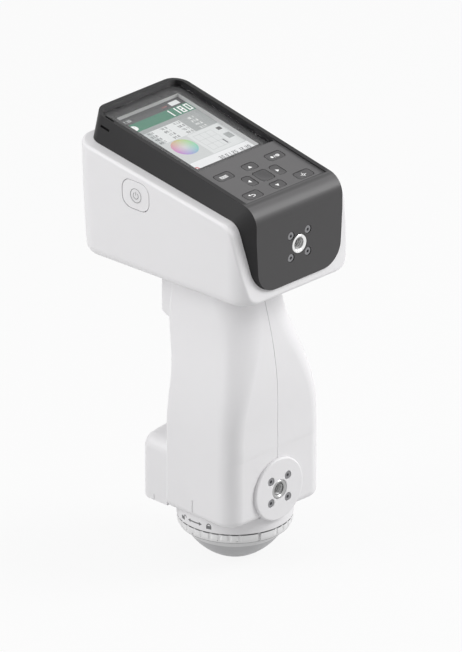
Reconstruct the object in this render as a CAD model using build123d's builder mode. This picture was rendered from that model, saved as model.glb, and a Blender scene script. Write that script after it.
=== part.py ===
from build123d import *
import os
from math import cos, radians, sin, tan

os.makedirs("parts", exist_ok=True)

# Hand-held color spectrophotometer, in millimetres. The origin is the centre of the measuring port on
# the plane that touches the sample. +Z is up, -Y is the front face, -X is the side of the power button.

# Walls, clearances and screws
wall = 2.2
run_gap = 0.08
key_gap = 0.35
stop_gap = 0.4
screw_r = 1.25
screw_head_r = 2.1
screw_head_h = 1.3
screw_head_gap = 0.3
screw_shank_l = 6.0
hex_r = 0.85
hex_deep = 0.8
fit_gap = 0.3

# Measuring nose
port_r = 4.0
nose_flat_r = 10.0
nose_mid_r = 19.2
nose_mid_z = 6.6
nose_edge_r = 1.6
nose_h = 14.9
nose_r = 25.0
nose_wall = 1.8
nose_floor_t = 1.4
nose_flange_h = 1.2
nose_flange_r = 26.0

# Bayonet ring and collar
ring_h = 4.8
ring_r = 28.3
ring_low_r = 27.2
ring_lip_h = 1.1
collar_r = 28.5
collar_h = 7.8
collar_gap = 0.3
neck_r = 24.6
neck_bore_r = 22.6
sphere_way_r = 21.2
pad_half_angle = 20.5
pad_count = 3
notches_between_pads = 9
index_angle = 249.5
notch_r = 1.3
notch_deep = 0.5
index_w = 1.5
index_deep = 1.3

# Integrating sphere
sphere_r = 19.0
sphere_wall = 1.6
sphere_flange_r = 22.2
sphere_flange_h = 1.2
sphere_mid_z = 22.6
seal_r = 6.8
seal_t = 1.6

# Grip: the wide foot of the handle and the slim neck under the head
grip_half = 32.5
grip_front = -28.8
grip_back = 15.6
grip_edge_r = 9.3
grip_back_r = 2.0
grip_foot_r = 4.0
taper_z = 62.0
neck_half = 20.2
neck_front = -14.4
neck_back = 24.6
neck_edge_r = 16.0
neck_top_z = 158.0
seam_w = 0.3
seam_deep = 0.25
index_groove_y = -3.0
index_groove_w = 0.8
index_groove_deep = 0.4
index_groove_h = 9.4
foot_plate_t = 3.0

# Rear hump
hump_half = 31.0
hump_back = 33.6
hump_side_z = 60.5
hump_top_z = 63.6
hump_edge_r = 5.0
hump_corner_r = 7.0
hump_way_half = 26.0
hump_way_sill = 3.0
hump_mark_y = 24.5

# Trigger block behind the neck
trigger_back = 30.6
trigger_foot_z = 121.8
trigger_slope_z = 124.4
trigger_w = 16.0
trigger_h = 17.0
trigger_z = 137.5
trigger_r = 2.5
trigger_travel = 1.2
trigger_proud = 0.4
trigger_flange = 1.2
trigger_flange_t = 0.8

# White head case
head_half = 39.6
head_low_half = 37.2
head_back = 72.0
head_edge_r = 12.0
head_foot_r = 6.5
under_back_z = 147.8
under_slope = 1.7
ledge_back_y = 64.0
ledge_back_z = 207.6
ledge_tilt = 8.05
ledge_bend_y = -35.0
ledge_bend_r = 8.0
ledge_edge_r = 1.6
lip_y = -42.3
lip_z = 157.5
cover_step = 5.0
passage_w = 28.0
passage_l = 24.0
pillar_places = ((-30.0, -12.0), (30.0, -12.0), (-30.0, -92.0), (30.0, -92.0))
pillar_r = 3.0
pillar_h = 14.0
socket_z = 165.0
socket_face_y = 70.4
socket_w = 9.0
socket_h = 3.3
socket_l = 8.0

# Dark cover and the tilted panel
panel_tilt = 10.14
panel_y = 31.9
panel_z = 212.85
rim_h = 1.95
rim_half = 29.4
cover_root_half = 33.0
cover_back_y = 68.4
cover_front_y = -43.6
cover_nose_r = 10.0
cover_face_top_half = 29.9
cover_face_low_half = 27.2
cover_corner_r = 12.0
cover_flare = 3.6
cover_flare_y = -35.0
cover_back_r = 8.0
cover_top_wall = 2.2
cover_wall = 2.2

# Display
screen_w = 42.4
screen_l = 56.0
window_back_s = 35.0
window_front_s = -31.8
window_half = 27.0
window_corner_r = 5.0
seat_gap = 0.2
window_t = 1.0
mask_t = 0.15
frame_deep = 2.1
frame_wall = 2.0
panel_t = 2.2

# Keypad
keypad_floor_n = 0.9
keypad_half = 27.0
keypad_front_s = -68.2
keypad_ramp = 2.6
key_well_half = 24.0
key_well_l = 34.0
key_travel = 0.6
key_flange = 0.9
key_corner_r = 1.6
key_dish = 0.45
dish_r = 18.0
mat_w = 52.4
mat_l = 32.0
mat_t = 1.0
board_t = 1.6
key_mid_s = -51.9
arrow_reach_x = 9.5
arrow_reach_s = 9.6
arrow_l = 8.0
arrow_w = 5.2
centre_key_w = 8.4
function_x = 17.4
function_s = 9.9
function_w = 10.2
function_l = 5.6

# Power button on the -X side
power_y = 28.6
power_z = 191.3
power_w = 18.0
power_h = 14.6
power_r = 5.6
power_travel = 1.0
power_wall_x = 36.75
power_flange = 0.8
power_flange_t = 0.85
switch_post_y = 13.0
switch_post_r = 2.0
switch_board_x = 31.0
switch_board_h = 12.0

# Threaded mounts on the front
thread_r = 3.175
insert_r = 5.0
insert_l = 8.0
mount_square = 11.54
upper_mount_z = 176.15
lower_mount_z = 41.5
disc_r = 16.3
disc_front = -30.4
disc_edge_r = 1.0
plate_half = 10.0
plate_t = 2.5

# Main board and the wrist strap's eyelet
main_board_w = 53.2
main_board_l = 86.0
main_board_s = -12.0
board_post_x = 25.4
board_post_s = (-28.0, 28.0)
board_post_r = 1.5
board_post_l = 6.65
eyelet_s = 26.0
eyelet_l = 6.0
eyelet_w = 1.1
eyelet_deep = 4.0
eyelet_bar = 0.6

# Metal spine inside the handle
chassis_y = -4.0
chassis_t = 2.0
leg_out = 27.0
leg_in = 22.0
arch_z = 46.0
shoulder_z = 60.0
spine_half = 13.0
spine_z = 125.0
flange_half = 20.0
flange_reach = 14.0

# Optics and electronics inside the handle
spectro_half = 16.0
spectro_deep = 18.4
spectro_z = 53.0
spectro_h = 42.0
guide_y = -10.5
guide_r = 4.0
guide_l = 16.0
camera_x = 16.0
camera_w = 10.0
camera_deep = 9.0
camera_z = 38.0
camera_h = 12.0
lamp_y = 20.0
lamp_z = 44.0
lamp_r = 4.0
lamp_way_r = 3.0
holder_half = 10.0
holder_front_y = 6.0
holder_back_y = 28.8
holder_top_z = 56.0
lamp_board_half = 18.0
lamp_board_h = 22.0
capacitor_r = 8.0
capacitor_l = 26.0
capacitor_z = 113.0
battery_w = 36.0
battery_h = 28.0
door_z = 81.0
door_h = 30.0
door_half = 23.0
door_t = 1.2
door_sill = 5.0
door_gap = 0.15

# Places that follow from the sizes above
ring_low_z = nose_h + 0.2
ring_top_z = ring_low_z + ring_h
collar_low_z = ring_top_z + collar_gap
body_z = collar_low_z + collar_h
flange_low_z = ring_low_z + ring_lip_h + run_gap
neck_low_z = flange_low_z + nose_flange_h
panel_rise = sin(radians(panel_tilt))
panel_run = cos(radians(panel_tilt))
cover_top_inset = rim_h + mask_t + window_t + cover_top_wall
under_plane = Plane(
    origin=(0, head_back, under_back_z),
    x_dir=(1, 0, 0),
    z_dir=(0, sin(radians(under_slope)), cos(radians(under_slope))),
)
far = 200.0
panel = Plane(origin=(0, panel_y, panel_z), x_dir=(1, 0, 0), z_dir=(0, -panel_rise, panel_run))
cavity_n = rim_h - cover_top_inset
keypad_under_n = keypad_floor_n - cover_wall
mask_low_n = -window_t - mask_t
frame_low_n = mask_low_n - frame_deep
key_low_n = cavity_n + key_travel + stop_gap
board_n = cavity_n - board_post_l
window_l = window_back_s - window_front_s
window_mid_s = (window_back_s + window_front_s) / 2
power_flange_x = power_wall_x - stop_gap
switch_top_x = power_flange_x - power_flange_t - power_travel - stop_gap
trigger_flange_y = trigger_back - wall - stop_gap
trigger_switch_y = trigger_flange_y - trigger_flange_t - trigger_travel - stop_gap
lamp_rise = (lamp_z - sphere_mid_z) / lamp_y
lamp_reach = (lamp_y ** 2 + (lamp_z - sphere_mid_z) ** 2) ** 0.5
holder_low_z = body_z + foot_plate_t
nose_slope = (nose_r - nose_flat_r) / nose_h
nose_bore_r = nose_flat_r - nose_wall * (1 + nose_slope ** 2) ** 0.5
power_plane = Plane(origin=(0, power_y, power_z), x_dir=(0, 1, 0), z_dir=(-1, 0, 0))
lamp_plane = Plane(origin=(0, lamp_y, lamp_z), x_dir=(0, 1, 0), z_dir=(1, 0, 0))
beam_plane = Plane(origin=(0, 0, sphere_mid_z), x_dir=(1, 0, 0), z_dir=(0, 1, lamp_rise))


def outline(z, half, front, back, front_r, back_r):
    """A rectangle at one height, with its own radius at the front corners and at the back ones."""
    with BuildSketch(Plane.XY.offset(z)) as plan:
        with Locations((0, (front + back) / 2)):
            Rectangle(2 * half, back - front)
        fillet(plan.vertices().group_by(Axis.Y)[0], front_r)
        fillet(plan.vertices().group_by(Axis.Y)[-1], back_r)
    return plan.sketch


def grip_form(inset):
    """The handle as one solid: a straight foot, then sections that blend into the slim neck."""
    stations = [
        (0.0, 0.0, 0.0, 0.0),
        (0.125, 0.01, -0.01, 0.0),
        (0.25, 0.10, -0.015, 0.0),
        (0.375, 0.305, 0.01, 0.08),
        (0.5, 0.585, 0.11, 0.46),
        (0.625, 0.85, 0.278, 0.93),
        (0.75, 0.98, 0.507, 1.0),
        (0.875, 1.0, 0.753, 1.0),
        (1.0, 1.0, 1.0, 1.0),
    ]
    back_r = max(grip_back_r - inset, 0.4)
    sections = []
    for rise, narrow, lean, step in stations:
        half = grip_half + narrow * (neck_half - grip_half) - inset
        front = grip_front + lean * (neck_front - grip_front) + inset
        back = grip_back + step * (neck_back - grip_back) - inset
        edge_r = grip_edge_r + narrow * (neck_edge_r - grip_edge_r) - inset
        z = taper_z + rise * (neck_top_z - taper_z)
        sections.append(outline(z, half, front, back, edge_r, back_r))
    foot = outline(
        body_z, grip_half - inset, grip_front + inset, grip_back - inset, grip_edge_r - inset, back_r
    )
    with BuildPart() as body:
        add(foot)
        extrude(amount=taper_z - body_z)
        loft(sections)
    return body.part


def head_form(inset):
    """The white case as one solid: crowned sides, a sloping underside and a rounded bottom edge."""
    half = head_half - inset
    low_half = head_low_half - inset
    back = head_back - inset
    low_back = head_back - (head_half - head_low_half) - inset
    front = lip_y - 2.0 + inset
    edge_r = head_edge_r - inset
    low_z = under_back_z - 10.0
    rise = 90.0
    with BuildPart() as body:
        loft(
            [
                outline(low_z, low_half, front, low_back, edge_r, edge_r),
                outline(low_z + 0.45 * rise, (half + low_half) / 2 + 0.5, front, back - 0.7, edge_r, edge_r),
                outline(low_z + rise, half, front, back, edge_r, edge_r),
            ]
        )
        split(bisect_by=under_plane.offset(inset), keep=Keep.TOP)
        fillet(body.faces().sort_by(Axis.Z)[0].edges(), head_foot_r - inset / 2)
    return body.part


def ledge_z(y, inset):
    """Height of the ledge at one place along the head, lowered by the inset."""
    return ledge_back_z + (y - ledge_back_y) * tan(radians(ledge_tilt)) - inset


def seam_y_z(inset):
    """The bend of the seam between case and cover in side view, and how far it leans per mm down."""
    lean = (lip_y - ledge_bend_y) / (lip_z - ledge_z(ledge_bend_y, 0))
    return ledge_bend_y + inset, ledge_z(ledge_bend_y + inset, inset), lean


def above_seam(inset):
    """All the space above and in front of the seam, lowered and set back by the inset."""
    bend_y, bend_z, lean = seam_y_z(inset)
    foot_z = lip_z - 60.0
    with BuildPart() as region:
        with BuildSketch(Plane.YZ):
            with BuildLine():
                FilletPolyline(
                    (far, ledge_z(far, inset)),
                    (bend_y, bend_z),
                    (bend_y + lean * (foot_z - bend_z), foot_z),
                    (-far, foot_z),
                    (-far, 2 * far),
                    (far, 2 * far),
                    radius=[0, ledge_bend_r + inset, 0, 0, 0, 0],
                    close=True,
                )
            make_face()
        extrude(amount=far, both=True)
    return region.part


def cover_profile(x, inset, top_inset):
    """Side view of the cover's top and front at the rim: the panel's slope, a nose and a flat front."""
    n = rim_h - top_inset
    back_y = cover_back_y - inset
    front_y = cover_front_y + inset
    back_s = (back_y - panel_y + n * panel_rise) / panel_run
    front_s = (front_y - panel_y + n * panel_rise) / panel_run
    low_z = lip_z - 3.0
    with BuildSketch(Plane.YZ.offset(x)) as view:
        with BuildLine():
            FilletPolyline(
                (back_y, low_z),
                (back_y, panel_z + back_s * panel_rise + n * panel_run),
                (front_y, panel_z + front_s * panel_rise + n * panel_run),
                (front_y, low_z),
                radius=[0, 0, cover_nose_r - inset, 0],
                close=True,
            )
        make_face()
    return view.sketch


def root_profile(x, inset, deeper):
    """Side view of the cover where it meets the case: the ledge, the bend and the front slope."""
    bend_y, bend_z, lean = seam_y_z(deeper)
    back_y = cover_back_y - inset
    low_z = lip_z - 3.0
    with BuildSketch(Plane.YZ.offset(x)) as view:
        with BuildLine():
            FilletPolyline(
                (back_y, low_z),
                (back_y, ledge_z(back_y, deeper)),
                (bend_y, bend_z),
                (bend_y + lean * (low_z - bend_z), low_z),
                radius=[0, 0, ledge_bend_r + deeper, 0],
                close=True,
            )
        make_face()
    return view.sketch


def face_outline(y, inset, flare):
    """Front view of the dark front face: tapering sides and two round lower corners."""
    low_z = lip_z + inset
    with BuildSketch(Plane.XZ.offset(-y)) as view:
        with BuildLine():
            Polyline(
                (-cover_face_top_half - flare + inset, 200.0),
                (-cover_face_low_half - flare + inset, low_z),
                (cover_face_low_half + flare - inset, low_z),
                (cover_face_top_half + flare - inset, 200.0),
                (cover_face_top_half + flare - inset, 260.0),
                (-cover_face_top_half - flare + inset, 260.0),
                close=True,
            )
        make_face()
        fillet(view.vertices().group_by(Axis.Y)[0], cover_corner_r - inset / 2)
    return view.sketch


def cover_form(inset, top_inset, deeper):
    """The dark cover as one solid: its sides flare from the rim down to the seam, or deeper."""
    rim_x = rim_half - inset
    root_x = cover_root_half - inset + deeper * cover_flare / (2 * ledge_bend_r)
    front_y = cover_front_y + inset
    with BuildPart() as body:
        extrude(cover_profile(-rim_x, inset, top_inset), amount=2 * rim_x)
        loft([cover_profile(rim_x, inset, top_inset), root_profile(root_x, inset, deeper)], ruled=True)
        loft([cover_profile(-rim_x, inset, top_inset), root_profile(-root_x, inset, deeper)], ruled=True)
        add(above_seam(deeper), mode=Mode.INTERSECT)
        corners = body.faces().sort_by(Axis.Y)[-1].edges().filter_by(Axis.X, reverse=True)
        fillet(corners, cover_back_r - inset)
    with BuildPart() as view:
        loft([face_outline(front_y - 1.0, inset, 0), face_outline(cover_flare_y, inset, cover_flare + 0.6)])
        with Locations((0, cover_flare_y, lip_z - 20.0)):
            Box(4 * rim_half, far, far, align=(Align.CENTER, Align.MIN, Align.MIN))
        add(body.part, mode=Mode.INTERSECT)
    return view.part




def rounded_block(plane, width, length, corner_r, low, high):
    """A rounded rectangle on a plane, as a block between two heights along the plane's normal."""
    with BuildPart() as block:
        with BuildSketch(plane.offset(low)):
            RectangleRounded(width, length, corner_r)
        extrude(amount=high - low)
    return block.part


def mount_screw():
    """A socket head screw: its seat is at the origin, its head points to +Z and its shank to -Z."""
    with BuildPart() as screw:
        Cylinder(screw_head_r, screw_head_h, align=(Align.CENTER, Align.CENTER, Align.MIN))
        fillet(screw.edges().sort_by(Axis.Z)[-1], 0.25)
        Cylinder(screw_r, screw_shank_l, align=(Align.CENTER, Align.CENTER, Align.MAX))
        with BuildSketch(Plane.XY.offset(screw_head_h)):
            RegularPolygon(hex_r, 6)
        extrude(amount=-hex_deep, mode=Mode.SUBTRACT)
    return screw.part


def mount_insert(length):
    """A threaded insert along Z: its open face is at the origin and its body lies below it."""
    with BuildPart() as insert:
        Cylinder(insert_r, length, align=(Align.CENTER, Align.CENTER, Align.MAX))
        chamfer(insert.edges().sort_by(Axis.Z)[-1], 0.4)
        Cylinder(thread_r, length, align=(Align.CENTER, Align.CENTER, Align.MAX), mode=Mode.SUBTRACT)
        chamfer(insert.faces().sort_by(Axis.Z)[-1].edges().sort_by(SortBy.RADIUS)[0], 0.5)
    return insert.part


def mount_plate(y, z):
    """A backing plate with its front face at one place, with a hole for the insert and four for screws."""
    with BuildPart() as plate:
        with Locations((0, y, z)):
            Box(2 * plate_half, plate_t, 2 * plate_half, align=(Align.CENTER, Align.MIN, Align.CENTER))
        fillet(plate.edges().filter_by(Axis.Y), 1.5)
        with Locations(front_plane(y, z)):
            Cylinder(insert_r, 4 * plate_t, mode=Mode.SUBTRACT)
            with GridLocations(mount_square, mount_square, 2, 2):
                Cylinder(screw_r, 4 * plate_t, mode=Mode.SUBTRACT)
    return plate.part


def on_panel(x, s, n):
    """A plane parallel to the panel: x across it, s up its slope and n out of it."""
    return Plane(origin=panel.from_local_coords((x, s, n)), x_dir=panel.x_dir, z_dir=panel.z_dir)


def window_block(gap, low_n, high_n):
    """The window's outline, drawn in by a gap, as a block between two heights over the panel."""
    with BuildPart() as block:
        with BuildSketch(on_panel(0, window_mid_s, low_n)) as plan:
            Rectangle(2 * window_half - 2 * gap, window_l - 2 * gap)
            fillet(plan.vertices().group_by(Axis.Y)[-1], window_corner_r)
        extrude(amount=high_n - low_n)
    return block.part


def hump_outline(inset):
    """Rear view of the hump: straight sides under a low arch."""
    half = hump_half - inset
    with BuildSketch() as view:
        with BuildLine():
            Polyline((-half, hump_side_z - inset), (-half, body_z + inset), (half, body_z + inset),
                     (half, hump_side_z - inset))
            ThreePointArc((half, hump_side_z - inset), (0, hump_top_z - inset), (-half, hump_side_z - inset))
        make_face()
        fillet(view.vertices().filter_by(lambda v: v.Y > body_z + inset + 1.0), hump_corner_r - inset)
    return view.sketch


def front_plane(y, z):
    """A plane that faces the front, so that its local Z is the object's -Y."""
    return Plane(origin=(0, y, z), x_dir=(1, 0, 0), z_dir=(0, -1, 0))


def case_hollow():
    """The room inside the white case, under the ledge and behind the front slope."""
    with BuildPart() as hollow:
        add(head_form(wall))
        add(above_seam(wall), mode=Mode.SUBTRACT)
    return hollow.part


def sphere_clearance(gap):
    """The integrating sphere's outside as a solid, with a gap round it."""
    with BuildPart() as ball:
        with Locations((0, 0, sphere_mid_z)):
            Sphere(sphere_r + sphere_wall + gap)
    return ball.part


# Forms that several pieces share
handle_outside = grip_form(0)
handle_hollow = grip_form(wall)
cover_hollow = cover_form(cover_wall, cover_top_inset, cover_step)

with BuildPart() as handle:
    add(handle_outside)
    split(bisect_by=under_plane, keep=Keep.BOTTOM)
    fillet(handle.faces().sort_by(Axis.Z)[0].edges().sort_by(Axis.Y)[:5], grip_foot_r)

# Places of the keys on the panel: name, x, s, width along x, length along s
key_places = {
    "key_up": (0, key_mid_s + arrow_reach_s, arrow_l, arrow_w),
    "key_down": (0, key_mid_s - arrow_reach_s, arrow_l, arrow_w),
    "key_left": (-arrow_reach_x, key_mid_s, arrow_w, arrow_l),
    "key_right": (arrow_reach_x, key_mid_s, arrow_w, arrow_l),
    "key_centre": (0, key_mid_s, centre_key_w, centre_key_w),
    "key_function_1": (-function_x, key_mid_s + function_s, function_w, function_l),
    "key_function_2": (function_x, key_mid_s + function_s, function_w, function_l),
    "key_function_3": (-function_x, key_mid_s - function_s, function_w, function_l),
    "key_function_4": (function_x, key_mid_s - function_s, function_w, function_l),
}

with BuildPart() as head_case:
    add(head_form(0))
    add(above_seam(0), mode=Mode.SUBTRACT)
    seam_faces = head_case.faces().filter_by(lambda f: f.normal_at(f.center()).Z > 0.1)
    seam_edges = seam_faces.edges().filter_by(
        lambda e: abs(e.center().X) > 5.0 or e.center().Y > 0 or e.center().Z < lip_z
    )
    fillet(seam_edges, ledge_edge_r)
    add(case_hollow(), mode=Mode.SUBTRACT)
    add(cover_hollow, mode=Mode.SUBTRACT)
    with BuildSketch(Plane.XY.offset(under_back_z - 5.0)):
        with Locations((0, chassis_y + passage_l / 2 - 6.0)):
            RectangleRounded(passage_w, passage_l, 3.0)
    extrude(amount=15.0, mode=Mode.SUBTRACT)
    add(rounded_block(power_plane, power_w + 2 * key_gap, power_h + 2 * key_gap, power_r + key_gap,
                      power_flange_x, head_half + 1.0), mode=Mode.SUBTRACT)
    with BuildSketch(Plane.YZ.offset(-power_wall_x - wall / 2)):
        with Locations((power_y - switch_post_y, power_z), (power_y + switch_post_y, power_z)):
            Circle(switch_post_r)
    extrude(amount=wall / 2 + power_wall_x - switch_board_x)
    with BuildSketch(Plane.XZ.offset(-head_back + 2 * wall)):
        with Locations((0, socket_z)):
            RectangleRounded(socket_w, socket_h, socket_h / 2 - 0.2)
    extrude(amount=-4 * wall, mode=Mode.SUBTRACT)
    with BuildSketch(under_plane.offset(wall / 2)):
        with Locations(*pillar_places):
            Circle(pillar_r)
    extrude(amount=pillar_h)
    with Locations(*[under_plane.location * Location((x, y, 0)) for x, y in pillar_places]):
        Cylinder(screw_head_r + 0.1, screw_head_h + screw_head_gap, mode=Mode.SUBTRACT,
                 align=(Align.CENTER, Align.CENTER, Align.MIN))
        Cylinder(screw_r, screw_head_h + screw_head_gap + screw_shank_l, mode=Mode.SUBTRACT,
                 align=(Align.CENTER, Align.CENTER, Align.MIN))

with BuildPart() as head_cover:
    add(cover_form(0, 0, 0))
    add(cover_hollow, mode=Mode.SUBTRACT)
    add(window_block(0, mask_low_n, rim_h + 5.0), mode=Mode.SUBTRACT)
    add(rounded_block(panel, screen_w + 2 * frame_wall + 2 * seat_gap,
                      screen_l + 2 * frame_wall + 2 * seat_gap, 1.0, cavity_n - 1.0, rim_h),
        mode=Mode.SUBTRACT)
    with BuildSketch(Plane.YZ.offset(-keypad_half)) as pocket:
        with BuildLine():
            Polyline(
                *[(panel_y + s * panel_run - n * panel_rise, panel_z + s * panel_rise + n * panel_run)
                  for s, n in (
                      (window_front_s + 0.01, keypad_floor_n),
                      (keypad_front_s + keypad_ramp, keypad_floor_n),
                      (keypad_front_s, rim_h + 0.05),
                      (window_front_s + 0.01, rim_h + 0.05),
                  )],
                close=True,
            )
        make_face()
    extrude(amount=2 * keypad_half, mode=Mode.SUBTRACT)
    add(rounded_block(on_panel(0, key_mid_s, 0), 2 * key_well_half, key_well_l, 2.0,
                      cavity_n - 1.0, keypad_under_n), mode=Mode.SUBTRACT)
    with BuildSketch(panel.offset(keypad_floor_n)):
        for x, s, width, length in key_places.values():
            with Locations((x, s)):
                RectangleRounded(width + 2 * key_gap, length + 2 * key_gap, key_corner_r + key_gap)
    extrude(amount=-2 * cover_wall, mode=Mode.SUBTRACT)
    with BuildSketch(panel.offset(cavity_n + 0.5)):
        with Locations(*[(x, s) for x in (-board_post_x, board_post_x) for s in board_post_s]):
            Circle(board_post_r)
    extrude(amount=-board_post_l - 0.5)
    with Locations(front_plane(cover_front_y, upper_mount_z)):
        Cylinder(insert_r, 2 * cover_wall + 1.0, mode=Mode.SUBTRACT)
        with GridLocations(mount_square, mount_square, 2, 2):
            Cylinder(screw_r, 4 * cover_wall, mode=Mode.SUBTRACT)
            Cylinder(screw_head_r + 0.1, 2 * (screw_head_h + screw_head_gap), mode=Mode.SUBTRACT)
    with Locations(on_panel(-rim_half, eyelet_s, rim_h)):
        with Locations((eyelet_bar + eyelet_w / 2, 0, 0)):
            Box(eyelet_w, eyelet_l, 2 * (eyelet_deep + eyelet_w), mode=Mode.SUBTRACT)
        with Locations((eyelet_bar + eyelet_w, 0, -eyelet_deep)):
            Box(far, eyelet_l, eyelet_w, align=(Align.MAX, Align.CENTER, Align.MAX), mode=Mode.SUBTRACT)

with BuildPart() as display_window:
    add(window_block(seat_gap, -window_t, 0.0))
    fillet(display_window.faces().sort_by(Axis.Z)[-1].edges(), 0.2)

with BuildPart() as window_mask:
    add(window_block(seat_gap, mask_low_n, -window_t))
    add(rounded_block(panel, screen_w, screen_l, 0.6, mask_low_n - 1.0, 1.0), mode=Mode.SUBTRACT)

with BuildPart() as display_frame:
    add(rounded_block(panel, screen_w + 2 * frame_wall, screen_l + 2 * frame_wall, 1.0,
                      frame_low_n, mask_low_n))
    add(rounded_block(panel, screen_w, screen_l, 0.6, frame_low_n - 1.0, 1.0), mode=Mode.SUBTRACT)

with BuildPart() as display_panel:
    add(rounded_block(panel, screen_w + 2 * frame_wall, screen_l + 2 * frame_wall, 1.0,
                      frame_low_n - panel_t, frame_low_n))

mat_plane = on_panel(0, key_mid_s, cavity_n)
with BuildPart() as key_mat:
    add(rounded_block(mat_plane, mat_w, mat_l, 2.0, -mat_t, 0.0))

with BuildPart() as key_board:
    add(rounded_block(mat_plane, mat_w, mat_l, 2.0, -mat_t - board_t, -mat_t))
    with BuildSketch(mat_plane.offset(-mat_t - board_t)):
        Rectangle(0.6 * mat_w, 4.0)
    extrude(amount=-2.0)

with BuildPart() as main_board:
    add(rounded_block(on_panel(0, main_board_s, board_n), main_board_w, main_board_l, 1.5, -board_t, 0.0))
    with BuildSketch(on_panel(0, main_board_s, board_n - board_t)):
        with Locations((-8.0, 14.0), (10.0, -6.0)):
            Rectangle(14.0, 14.0)
        with Locations((-12.0, -22.0), (14.0, 22.0)):
            Rectangle(9.0, 6.0)
    extrude(amount=-1.6)

# Each key is a dished cap with a flange that keeps it behind the panel
key_parts = {}
for name, (x, s, width, length) in key_places.items():
    with BuildPart() as key:
        with BuildSketch(on_panel(x, s, key_low_n)):
            RectangleRounded(width, length, key_corner_r)
        extrude(amount=keypad_floor_n - key_low_n)
        fillet(key.faces().sort_by(Axis.Z)[-1].edges(), 0.25)
        with BuildSketch(on_panel(x, s, key_low_n)):
            RectangleRounded(width + 2 * key_flange, length + 2 * key_flange, key_corner_r)
        extrude(amount=keypad_under_n - stop_gap - key_low_n)
        with Locations(on_panel(x, s, keypad_floor_n - key_dish + dish_r)):
            Sphere(dish_r, mode=Mode.SUBTRACT)
    key_parts[name] = key

with BuildPart() as power_button:
    add(rounded_block(power_plane, power_w, power_h, power_r, power_flange_x - 1.0, head_half + 2.0))
    add(head_form(0), mode=Mode.INTERSECT)
    fillet(power_button.faces().sort_by(Axis.X)[0].edges(), 0.3)
    add(rounded_block(power_plane, power_w + 2 * power_flange, power_h + 2 * power_flange, power_r,
                      power_flange_x - power_flange_t, power_flange_x))

with BuildPart() as power_switch:
    add(rounded_block(power_plane, 2 * switch_post_y + 2 * switch_post_r, switch_board_h, 1.5,
                      switch_board_x - board_t, switch_board_x))
    add(rounded_block(power_plane, 7.0, 7.0, 0.8, switch_board_x, switch_top_x))

with BuildPart() as data_socket:
    with BuildSketch(Plane.XZ.offset(-socket_face_y)):
        with Locations((0, socket_z)):
            RectangleRounded(socket_w, socket_h, socket_h / 2 - 0.2)
    extrude(amount=socket_l)
    with BuildSketch(Plane.XZ.offset(-socket_face_y)):
        with Locations((0, socket_z)):
            RectangleRounded(socket_w - 0.8, socket_h - 0.8, socket_h / 2 - 0.5)
    extrude(amount=socket_l - 1.5, mode=Mode.SUBTRACT)
    with Locations((0, socket_face_y - socket_l + 1.0, socket_z)):
        Box(6.0, socket_l - 2.0, 0.7, align=(Align.CENTER, Align.MIN, Align.CENTER))
    with Locations((0, socket_face_y - wall, socket_z - socket_h / 2)):
        Box(socket_w + 6.0, 1.5 * socket_l, board_t, align=(Align.CENTER, Align.MAX, Align.MAX))

with BuildPart() as case_screws:
    for x, y in pillar_places:
        with Locations(under_plane.location * Location((x, y, screw_head_h + screw_head_gap), (180, 0, 0))):
            add(mount_screw())

with BuildPart() as seam_groove:
    with Locations((0, 0, body_z - 1.0)):
        Box(seam_w, far, far, align=(Align.CENTER, Align.CENTER, Align.MIN))
    add(grip_form(seam_deep), mode=Mode.SUBTRACT)

with BuildPart() as handle_shells:
    add(handle.part)
    add(handle_hollow, mode=Mode.SUBTRACT)
    with Locations((0, grip_back, hump_side_z - hump_way_sill)):
        Box(2 * hump_way_half, 4 * wall, far, align=(Align.CENTER, Align.CENTER, Align.MAX),
            mode=Mode.SUBTRACT)
    with Locations((0, grip_back - door_t, door_z)):
        Box(2 * door_half, far, door_h, align=(Align.CENTER, Align.MIN, Align.CENTER), mode=Mode.SUBTRACT)
        Box(2 * door_half - 2 * door_sill, 4 * wall, door_h - 4.0, mode=Mode.SUBTRACT)
    with Locations(front_plane(grip_front, lower_mount_z)):
        Cylinder(insert_r, 4 * wall, mode=Mode.SUBTRACT)
        with GridLocations(mount_square, mount_square, 2, 2):
            Cylinder(screw_r, 4 * wall, mode=Mode.SUBTRACT)
    with Locations((-grip_half, index_groove_y, body_z)):
        Box(2 * index_groove_deep, index_groove_w, 2 * index_groove_h, mode=Mode.SUBTRACT)
    add(seam_groove.part, mode=Mode.SUBTRACT)

with BuildPart() as grip_shell_left:
    add(handle_shells.part)
    split(bisect_by=Plane.YZ, keep=Keep.BOTTOM)

with BuildPart() as grip_shell_right:
    add(handle_shells.part)
    split(bisect_by=Plane.YZ, keep=Keep.TOP)

with BuildPart() as foot_plate:
    add(outline(body_z, grip_half - wall - fit_gap, grip_front + wall + fit_gap, grip_back - wall - fit_gap,
                grip_edge_r - wall - fit_gap, 0.5))
    extrude(amount=foot_plate_t)
    add(handle.part, mode=Mode.INTERSECT)
    with Locations((0, 0, body_z)):
        Cylinder(sphere_way_r, 4 * foot_plate_t, mode=Mode.SUBTRACT)

with BuildPart() as collar:
    with BuildSketch(Plane.XZ):
        with BuildLine():
            Polyline(
                (neck_bore_r, neck_low_z),
                (neck_r, neck_low_z),
                (neck_r, collar_low_z),
                (collar_r, collar_low_z),
                (collar_r, body_z),
                (sphere_way_r, body_z),
                (sphere_way_r, sphere_mid_z + sphere_flange_h),
                (neck_bore_r, sphere_mid_z + sphere_flange_h),
                close=True,
            )
        make_face()
    revolve(axis=Axis.Z)
    fillet(collar.edges().filter_by(GeomType.CIRCLE).filter_by(
        lambda e: abs(e.radius - collar_r) < 0.01 and e.center().Z < body_z - 1.0), 0.5)

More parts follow.
